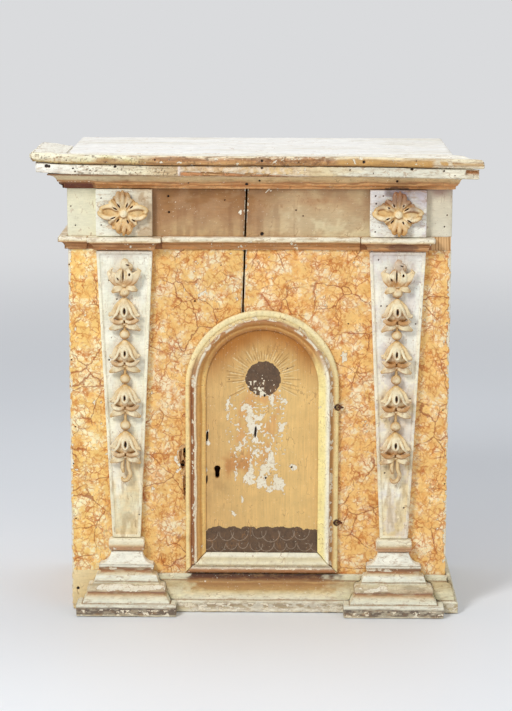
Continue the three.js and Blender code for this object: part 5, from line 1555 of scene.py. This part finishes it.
def rosette_leaf(angle, rng):
    """A short lobed leaf between two petals, one edge of it curled forward."""
    s = stray(rng, 1.5)
    reach = float(rng.uniform(-2, 2.5))
    side = 1 if rng.uniform() < 0.5 else -1
    lobe = [(10, 5, -5 * side), (17, 8, -8 * side), (24 + reach, 7.5, -9 * side), (26 + reach, 6, -5 * side)]
    forms = [
        petal([(8, 4, 0), (18, 5.5, 0), (27 + reach, 4, 0)], [4, 9.5, 3.4], [3, 3.4, 2]),
        petal([(8, 6, 2 * side), (17, 9, 3.5 * side), (27 + reach, 7.5, 1.5 * side + s)], [3, 4.2, 2.8], [3, 3.4, 2.4]),
        petal(lobe, [2.4, 3.6, 3.2, 1.8], [2.8, 3.2, 2.8, 1.8]),
    ]
    return [turned(form, angle) for form in forms]


class Rosettes(bpy.types.Operator):
    """Carves the two rosettes on the frieze blocks"""

    bl_idname = "tabernacle.rosettes"
    bl_label = "Rosettes"

    def execute(self, context):
        for side, seed in (("left", 951), ("right", 957)):
            node = "rosette_" + side
            low, high = node_box(node)
            rng = np.random.default_rng(seed)
            forms = [blob((0, 4.0, 0), (12, 6, 12))]
            cuts = []
            for quarter, reach in enumerate((38.0, 36.5, 39.5, 35.0)):
                angle = 90 * quarter + stray(rng, 6)
                forms += (fan_petal if quarter % 2 else spoon_petal)(angle, reach, rng)
                between = angle + 45 + stray(rng, 6)
                forms += rosette_leaf(between, rng)
                for offset in (-15, 13):
                    turn = math.radians(between + offset)
                    away = 17 + float(rng.uniform(-3, 4))
                    long = float(rng.uniform(2.4, 5.4))
                    cuts.append((away * math.cos(turn), away * math.sin(turn), 1.3, long, 4, between + offset - 90))
            forms.append(blob((0, 8.5, 0), (7.0, 5.0, 7.0)))
            forms.append(petal(curl(5.0, 0.6, 5.6, 9, 0, 5.0, 10.2), [1.3], [2.6], rings=30, sides=10))

            def dye(colours, x, z, uneven, smoked=side == "right"):
                upright = rise(0.9, 1.3, np.abs(z) / (np.abs(x) + 3)) * rise(9, 14, np.abs(z))
                return shade(
                    colours, (0.55 * upright * (z < 0), "#D79F52"),
                    (0.6 * upright * rise(12, 30, z + 20 * uneven), "#94663C"),
                    (0.75 * smoked * rise(2, 20, z + 24 * uneven), "#82503A"),
                )

            carve(node, forms, (low[0] + high[0]) / 2, (low[2] + high[2]) / 2, high[1], seed, cuts, dye)
        return {"FINISHED"}


# Door

PANEL_LOSSES = (
    (6, 352, 8, 3), (19, 345, 5.5, 7), (2, 361, 3, 5), (41, 343, 4, 5), (33, 350, 6, 2.5), (-48, 338, 2.8, 11),
    (-20, 331, 9, 6), (-14, 316, 6, 14), (0, 318, 8, 5), (-8, 296, 9, 10), (-6, 283, 6, 5), (-24, 276, 5.5, 6),
    (14, 291, 5, 3), (35, 302, 5.5, 5), (-3, 261, 5.5, 6), (16, 265, 4, 4), (19, 247, 6.5, 11), (13, 228, 12, 14),
    (17, 211, 16, 12), (34, 206, 9, 13), (-15.5, 219, 8.5, 9), (-33, 268, 3, 9), (52, 236, 5, 5), (-86, 224, 3, 10),
    (-84, 286, 5, 12), (-13, 231, 4, 3), (22, 238, 6, 9), (2, 209, 6, 11), (-38, 158, 3, 3.5), (-27, 179, 1.6, 7),
    (-10, 243, 2, 12), (-37, 225, 2, 14), (-49, 317, 2, 6),
)
SLITS = ((-5.4, 293, 1.8, 11), (-82.2, 285.5, 1.7, 10.5), (-83, 215, 1.7, 8), (9, 352, 1.8, 2.4), (52, 236, 1.3, 1.3),
         (11, 218, 1.5, 2.1), (-47, 378, 1, 1), (45, 396, 1, 1))
HOST_X, HOST_Z = 6.7, 379.5
CLOUD_LEFT = -86.0
RAY_STEP, LAST_RAY = 6.0, 214  # degrees
RAYS_FROM, RAYS_TO = 31, 54  # from the middle of the host


def panel_silver(points):
    """The silvered host and the bank of clouds at the foot, both with ragged edges."""
    sizes = bpy.context.scene.tabernacle_sizes
    x, z = points[:, 0], points[:, 2]
    ragged = 3.8 * sway(points, 3.6, 701)
    host = fall(-0.8, 0.8, np.hypot(x - HOST_X, z - HOST_Z) - sizes.disc_radius * MM + ragged)
    top = PANEL_FOOT + sizes.cloud_height * MM + ragged - 4 * rise(60, 90, x)
    top += 3.0 * np.abs(np.cos((x + 66) / 8)) - 2
    top -= 0.12 * np.maximum(0, -76 - x) ** 2
    return np.maximum(host, fall(-0.8, 0.8, z - top) * rise(CLOUD_LEFT - 1, CLOUD_LEFT + 1, x))


def panel_rays(points, rng, first):
    """Fine rays scratched round the host, each with its own length and depth."""
    x, z = points[:, 0] - HOST_X, points[:, 2] - HOST_Z
    away = np.hypot(x, z)
    angle = np.degrees(np.arctan2(z, x))
    drawn = np.zeros(len(points))
    for middle in np.arange(first, LAST_RAY, RAY_STEP):
        place = middle + stray(rng, 1.4)
        near, far = RAYS_FROM + float(rng.uniform(-2, 3)), RAYS_TO + stray(rng, 12)
        strength = float(rng.uniform(0.42, 0.8))
        across = np.abs((angle - place + 180) % 360 - 180) * math.pi / 180 * away
        drawn = np.maximum(drawn, strength * fall(0.4, 1.2, across) * within(near - 1, near + 1, far - 6, far, away))
    return drawn


def panel_lines(points):
    """Scratched rays round the host, and the scalloped outlines of the clouds."""
    x, z = points[:, 0], points[:, 2]
    rng = np.random.default_rng(711)
    drawn = panel_rays(points, rng, -28)
    for middles, aside, height, down, up, radius, less, more in (
        (np.arange(-76, 92, 24.5), 4, 33, 3.5, 3, 12.4, 2.8, 2.6),
        (np.arange(-84, 96, 19.5), 3, 13, 2.5, 2.5, 9.8, 2.4, 2.4),
    ):
        for middle in middles:
            across = x - (middle + stray(rng, aside))
            level = PANEL_FOOT + height + float(rng.uniform(-down, up))
            ring = np.abs(np.hypot(across, (z - level) * 0.9) - (radius + float(rng.uniform(-less, more))))
            drawn = np.maximum(drawn, 0.9 * fall(0.3, 0.95, ring) * (z < level + 1))
    return drawn


def panel_colour(points, skin):
    x, z = points[:, 0], points[:, 2]
    uneven = sway(points, (40, 20, 60), 721)
    stops = {-84: "#D2A868", -50: "#DBB270", 0: "#E2B974", 50: "#E6BE78", 90: "#E4BA74"}
    near_top = rise(34, 84, np.hypot(x - DOOR_MIDDLE, np.maximum(0, z - SPRING_LINE)) + 30 * uneven)
    near_top *= rise(SPRING_LINE - 10, SPRING_LINE + 60, z)
    under = patches(points, (12, 18, 22), 725, 0.4, 0.58) * spot(points, 0, 300, 34, 66, 727, 0.4)
    rubbed = []
    for middle_x, middle_z, reach_x, reach_z, size, seed, ragged in (
        (-46, 240, 17, 34, 16, 723, 1.4), (-20, 240, 14, 24, 16, 723, 1.4), (-62, 208, 26, 22, 14, 729, 1.2),
    ):
        away = np.hypot((x - middle_x) / reach_x, (z - middle_z) / reach_z)
        rubbed.append(rise(0.1, 0.9, 1 - away + ragged * sway(points, size, seed)))
    return shade(
        bands(x + 40 * uneven, stops), (near_top, "#AC6C20"), (0.72 * rubbed[0], "#C07C3E"),
        (0.72 * rubbed[1], "#C07C3E"), (0.52 * under, "#DB9A5A"), (0.4 * rubbed[2], "#A9814C"),
        (panel_rays(points, np.random.default_rng(713), -25.4), "#9A6A30"),
    )


def shape_panel(skin):
    """The panel's silver, scratches and slits."""
    points = skin.points
    x, z = points[:, 0], points[:, 2]
    front = points[:, 1] < 4
    skin.silver = front * panel_silver(points)
    skin.lines = front * panel_lines(points)
    skin.bored = np.zeros(len(points))
    for slit_x, slit_z, reach_x, reach_z in SLITS:
        slant = (z - slit_z) * 0.08
        slit = fall(0.5, 1.15, np.hypot((x - slit_x - slant) / reach_x, (z - slit_z) / reach_z)) * front
        skin.bored = np.maximum(skin.bored, slit)
        points[:, 1] += 2.6 * slit
    points[:, 1] += 0.25 * skin.lines


def panel_loss(points):
    """Where the panel's paint has flaked off the gesso, in patches with ragged edges and in specks round them."""
    away = np.zeros(len(points))
    pushed = points.copy()
    pushed[:, 0] += 13 * sway(points, 7, 747)
    pushed[:, 2] += 17 * sway(points, 7, 749)
    for index, (x, z, reach_x, reach_z) in enumerate(PANEL_LOSSES):
        away = np.maximum(away, spot(pushed, x, z, reach_x, reach_z, 751 + index, 0.26))
    away *= 1 - 0.6 * spot(pushed, 15, 221, 10, 14, 783, 0.5)
    near = fall(0.2, 1.0, np.hypot((points[:, 0] + 2) / 62, (points[:, 2] - 300) / 105))
    specks = rise(0.84, 0.88, lumps(points, 2.6, 799) + 0.12 * near) * rise(0.05, 0.2, near)
    return 0.75 * np.maximum(away, 0.8 * specks) * (points[:, 1] < 4)


def refine_panel(skin):
    points = skin.points
    inside = (np.abs(points[:, 0] - DOOR_MIDDLE) < DOOR_HALF - 30) & (points[:, 2] > PANEL_FOOT - 4)
    skin.refine(inside & (points[:, 1] < 1.5))


def frame_inward(points):
    """How far a point of the door frame lies inside the frame's outer edge, seen from the front."""
    x, z = points[:, 0], points[:, 2]
    arch = DOOR_HALF - np.hypot(x - DOOR_MIDDLE, z - SPRING_LINE)
    return np.where(z > SPRING_LINE, arch, DOOR_HALF - np.abs(x - DOOR_MIDDLE))


def frame_colour(points, skin):
    x, z = points[:, 0], points[:, 2]
    uneven = sway(points, (9, 9, 30), 731)
    inward = frame_inward(points) + 3 * uneven
    # The left stile's coves are darker and the right stile's paler: painted shade and painted light, as the coves face
    # away from the lamp on one side and towards it on the other.
    left = bands(inward, {0: "#F6DE9C", 5: "#F6DC9C", 7.5: "#C89050", 10: "#98603A", 13.5: "#AA7448", 15.5: "#F1E6C8",
                          17: "#E6D3A8", 18.5: "#B98248", 21: "#E0AE62", 25: "#C98F46", 28: "#F0C878", 33: "#DDA95E"})
    right = bands(inward, {0: "#F2DC9A", 5: "#EBD193", 9: "#C79A5E", 13: "#B88850", 15.5: "#F3EBD2", 19: "#FBF3D2",
                           23: "#FFF0AA", 33: "#FFE898"})
    arch = bands(inward, {0: "#F8E8B4", 10: "#F5E2A8", 13: "#E2CB9A", 15: "#A46C40", 17: "#B98250", 20: "#C48C4C",
                          23: "#B87838", 26: "#E2AE64", 28.5: "#C08440", 33: "#A2682E"})
    crumbs = patches(points, 8, 735, 0.4, 0.5) * within(14, 15.5, 18, 20, inward)
    arch = shade(arch, (0.95 * crumbs * rise(26, 60, np.abs(x - DOOR_MIDDLE)), "#EEE4C8"))
    colours = blend(left, right, rise(0, 60, x - DOOR_MIDDLE + 20 * uneven))
    colours = blend(colours, arch, rise(SPRING_LINE, SPRING_LINE + 70, z + 30 * uneven))
    low = z - RAIL_LOW[2] + 2 * uneven
    rail = bands(low, {0: "#9A6238", 5: "#B07A4C", 9: "#E9DFC6", 12: "#D9C69C", 18: "#EFE6C4", 24: "#D9CBA2",
                       28: "#F2ECD4", 33: "#EFE8CC"})
    return np.where(((low < inward) & (z < RAIL_HIGH[2] + 1))[:, None], rail, colours)


def close_joint(skin):
    """The gesso runs on over the joint between the arch and the stiles."""
    z = skin.points[:, 2]
    skin.points[:, 2] = np.where((z < SPRING_LINE) & (z > SPRING_LINE - 1.2), SPRING_LINE - 0.02, z)


def at_spring_line(points):
    return fall(0.5, 3, np.abs(points[:, 2] - SPRING_LINE))


def frame_loss(points):
    """Gesso shows in the groove of the frame and along the rail's foot."""
    inward = frame_inward(points)
    groove = within(8, 11, 14, 17, inward) * patches(points, (5, 8, 13), 741, 0.44, 0.52)
    low = points[:, 2] - RAIL_LOW[2]
    rail = within(5, 7, 11, 14, low) * (low < inward) * patches(points, (16, 8, 5), 745, 0.44, 0.5)
    return 0.24 * groove * (low > inward) + 0.26 * rail


def frame_wood(points):
    """Bare wood shows in strips in the left stile's groove."""
    strip = within(7, 9, 12, 14, frame_inward(points)) * patches(points, (8, 8, 50), 743, 0.5, 0.56)
    return 0.26 * strip * (points[:, 0] < 60)


class Door(bpy.types.Operator):
    """Builds the door: its silvered and painted board and the four mouldings of its frame"""

    bl_idname = "tabernacle.door"
    bl_label = "Door"

    def execute(self, context):
        skin = age_piece(
            "door_board", 91, "Ochre and silver on gesso", "ochre_gold", panel_colour, shape_panel,
            context.scene.tabernacle_sizes.board_pitch * 0.85, "door", soften=0, prepare=refine_panel, flaking=0.2,
            bare=0.1, uneven=0.2, more_loss=panel_loss, more_wood=lambda points: 0.9 * (points[:, 1] > 6),
        )
        skin.mark("Silver", skin.silver * (1 - skin.loss))
        skin.mark("Line", skin.lines * (1 - skin.loss))
        for part, seed in (("arch_moulding", 92), ("stile_left", 93), ("stile_right", 94), ("rail_bottom", 95)):
            age_piece(
                "door_" + part, seed, UPRIGHT, "ochre_gold", frame_colour, close_joint, body="door",
                joint=at_spring_line, bare=0.14, edge=0.2, more_loss=frame_loss, more_wood=frame_wood, uneven=0.5,
                chipped=0.7,
            )
        return {"FINISHED"}


# Iron


class LockAndHinges(bpy.types.Operator):
    """Builds the forged hinges, and the lock with its bolt and spring on the door's back"""

    bl_idname = "tabernacle.lock_and_hinges"
    bl_label = "Lock and hinges"

    def execute(self, context):
        for node, body, scale in (
            ("hinge_eye_upper", "door", 0.8), ("hinge_eye_lower", "door", 0.8), ("hinge_staple_upper", "carcass", 0.8),
            ("hinge_staple_lower", "carcass", 0.8), ("lock_case", "door", 1.5), ("lock_cap", "door", 1.3),
            ("lock_key_post", "door", 0.8), ("lock_spring", "door", 0.8), ("lock_bolt", "bolt", 1.0),
        ):
            pitch = context.scene.tabernacle_sizes.carving_pitch * scale
            skin = Skin("forged_" + node, [packed_form(node)], pitch)
            skin.points = skin.relaxed(1)
            if node == "lock_spring":
                skin.finish("Rolled spring steel", body, node)
            else:
                skin.points -= skin.normals() * (mottle(skin.points, 3.5, 810) * 0.35)[:, None] * 0.6
                skin.finish("Rusted forged iron", body, node)
        return {"FINISHED"}


# Stage

BACKDROP = "#DADBDD"
FLOOR_RADIUS, FLOOR_SIDES, FLOOR_LEVEL = 9, 96, -0.0006
CAMERA_PLACE = (0.0436, -3.5927, 1.0749)
CAMERA_DOWN, CAMERA_SIDE, CAMERA_ROLL = 10.72, -0.684, 0.149  # degrees
SENSOR_HEIGHT, FOCAL_LENGTH = 36.0, 113.73  # millimetres


class Stage(bpy.types.Operator):
    """Sets the pale floor, the soft lamps and the camera"""

    bl_idname = "tabernacle.stage"
    bl_label = "Stage"

    def execute(self, context):
        scene = context.scene
        turns = np.linspace(0, 2 * math.pi, FLOOR_SIDES, endpoint=False)
        rim = [(FLOOR_RADIUS * math.cos(t), FLOOR_RADIUS * math.sin(t), FLOOR_LEVEL) for t in turns]
        mesh = bpy.data.meshes.new("studio_floor")
        mesh.from_pydata(rim, [], [tuple(range(FLOOR_SIDES))])
        floor = bpy.data.objects.new("studio_floor", mesh)
        scene.collection.objects.link(floor)
        material = new_material("Painted studio floor")
        tree = material.node_tree
        place = add(tree, "TexCoord").outputs["Object"]
        scuff = add(tree, "TexNoise", {"Vector": place, "Scale": 1 / 0.5, "Detail": 3.0})
        tone = add(tree, "Mix", {0: scuff, 6: "#ECF0F4", 7: scene.tabernacle_paints.floor}, **RGBA)
        rough = add(tree, "MapRange", {0: scuff, 3: 0.5, 4: 0.62})
        surface = finish_surface(tree, tone, rough, scuff, 0.0001)
        away = add(tree, "VectorMath", {0: place}, operation="LENGTH")
        far = add(tree, "MapRange", {0: away, 1: 1.3, 2: 4.2}, **SMOOTH)
        backdrop = add(tree, "Emission", {"Color": BACKDROP, "Strength": 1.0})
        seen = add(tree, "Math", {0: add(tree, "LightPath").outputs["Is Camera Ray"], 1: far}, **TIMES)
        both = add(tree, "MixShader", {0: seen, 1: surface, 2: backdrop})
        add(tree, "OutputMaterial", {"Surface": both})
        mesh.materials.append(material)
        scene.world = bpy.data.worlds.new("Studio")
        scene.world.use_nodes = True
        tree = scene.world.node_tree
        tree.nodes.clear()
        rays = add(tree, "LightPath").outputs
        seen = add(tree, "Math", {0: rays["Is Camera Ray"], 1: rays["Is Glossy Ray"]}, operation="MAXIMUM")
        seen = add(tree, "Math", {0: seen, 1: rays["Is Transmission Ray"]}, operation="MAXIMUM")
        light = add(tree, "Background", {"Color": "#F2F4FA", "Strength": 0.42})
        shown = add(tree, "Background", {"Color": BACKDROP, "Strength": 1.0})
        add(tree, "OutputWorld", {"Surface": add(tree, "MixShader", {0: seen, 1: light, 2: shown})})
        for name, place, aim, size, watts in (
            ("key_lamp", (-1.5, -2.3, 2.5), (0, 0, 0.4), 0.9, 62),
            ("fill_lamp", (2.2, -2.2, 1.4), (0, 0, 0.35), 1.8, 14),
            ("top_lamp", (0.2, 0.4, 2.8), (0, 0, 0.5), 1.4, 16),
        ):
            lamp = bpy.data.lights.new(name, "AREA")
            lamp.shape, lamp.size, lamp.energy = "DISK", size, watts
            holder = bpy.data.objects.new(name, lamp)
            holder.location = place
            holder.rotation_euler = (Vector(aim) - Vector(place)).to_track_quat("-Z", "Y").to_euler()
            scene.collection.objects.link(holder)
        lens = bpy.data.cameras.new("camera")
        lens.sensor_fit, lens.sensor_height, lens.lens = "VERTICAL", SENSOR_HEIGHT, FOCAL_LENGTH
        camera = bpy.data.objects.new("camera", lens)
        camera.location = CAMERA_PLACE
        down, side, roll = (math.radians(turn) for turn in (CAMERA_DOWN, CAMERA_SIDE, CAMERA_ROLL))
        forward = Vector((math.sin(side) * math.cos(down), math.cos(side) * math.cos(down), -math.sin(down)))
        right = Vector((math.cos(side), -math.sin(side), 0))
        up = right.cross(forward)
        tilted_right = right * math.cos(roll) + up * math.sin(roll)
        tilted_up = up * math.cos(roll) - right * math.sin(roll)
        camera.rotation_euler = Matrix(list(zip(tilted_right, tilted_up, -forward))).to_euler()
        scene.collection.objects.link(camera)
        scene.camera = camera
        scene.view_settings.view_transform = "Standard"
        return {"FINISHED"}


STEPS = (
    MixPaints, FrontPlanks, CarcassBoards, Cornice, FriezeAndArchitrave, PilastersAndPedestals, BaseMouldings, Husks,
    Rosettes, Door, LockAndHinges, Stage,
)


class TABERNACLE_PT_panel(bpy.types.Panel):
    """Lists the steps that build the tabernacle, its sizes and its paints"""

    bl_idname = "TABERNACLE_PT_panel"
    bl_label = "Tabernacle"
    bl_space_type = "VIEW_3D"
    bl_region_type = "UI"
    bl_category = "Tabernacle"

    def draw(self, context):
        for group in (context.scene.tabernacle_sizes, context.scene.tabernacle_paints):
            for name in group.__annotations__:
                self.layout.prop(group, name)
        for step in STEPS:
            self.layout.operator(step.bl_idname)


CLASSES = (Sizes, Paints) + STEPS + (TABERNACLE_PT_panel,)


def register():
    for made in CLASSES:
        bpy.utils.register_class(made)
    bpy.types.Scene.tabernacle_sizes = bpy.props.PointerProperty(type=Sizes)
    bpy.types.Scene.tabernacle_paints = bpy.props.PointerProperty(type=Paints)


def unregister():
    del bpy.types.Scene.tabernacle_paints
    del bpy.types.Scene.tabernacle_sizes
    for made in reversed(CLASSES):
        bpy.utils.unregister_class(made)


def main():
    register()
    for step in STEPS:
        group, name = step.bl_idname.split(".")
        getattr(getattr(bpy.ops, group), name)()
    bpy.context.view_layer.update()


if __name__ == "__main__":
    main()
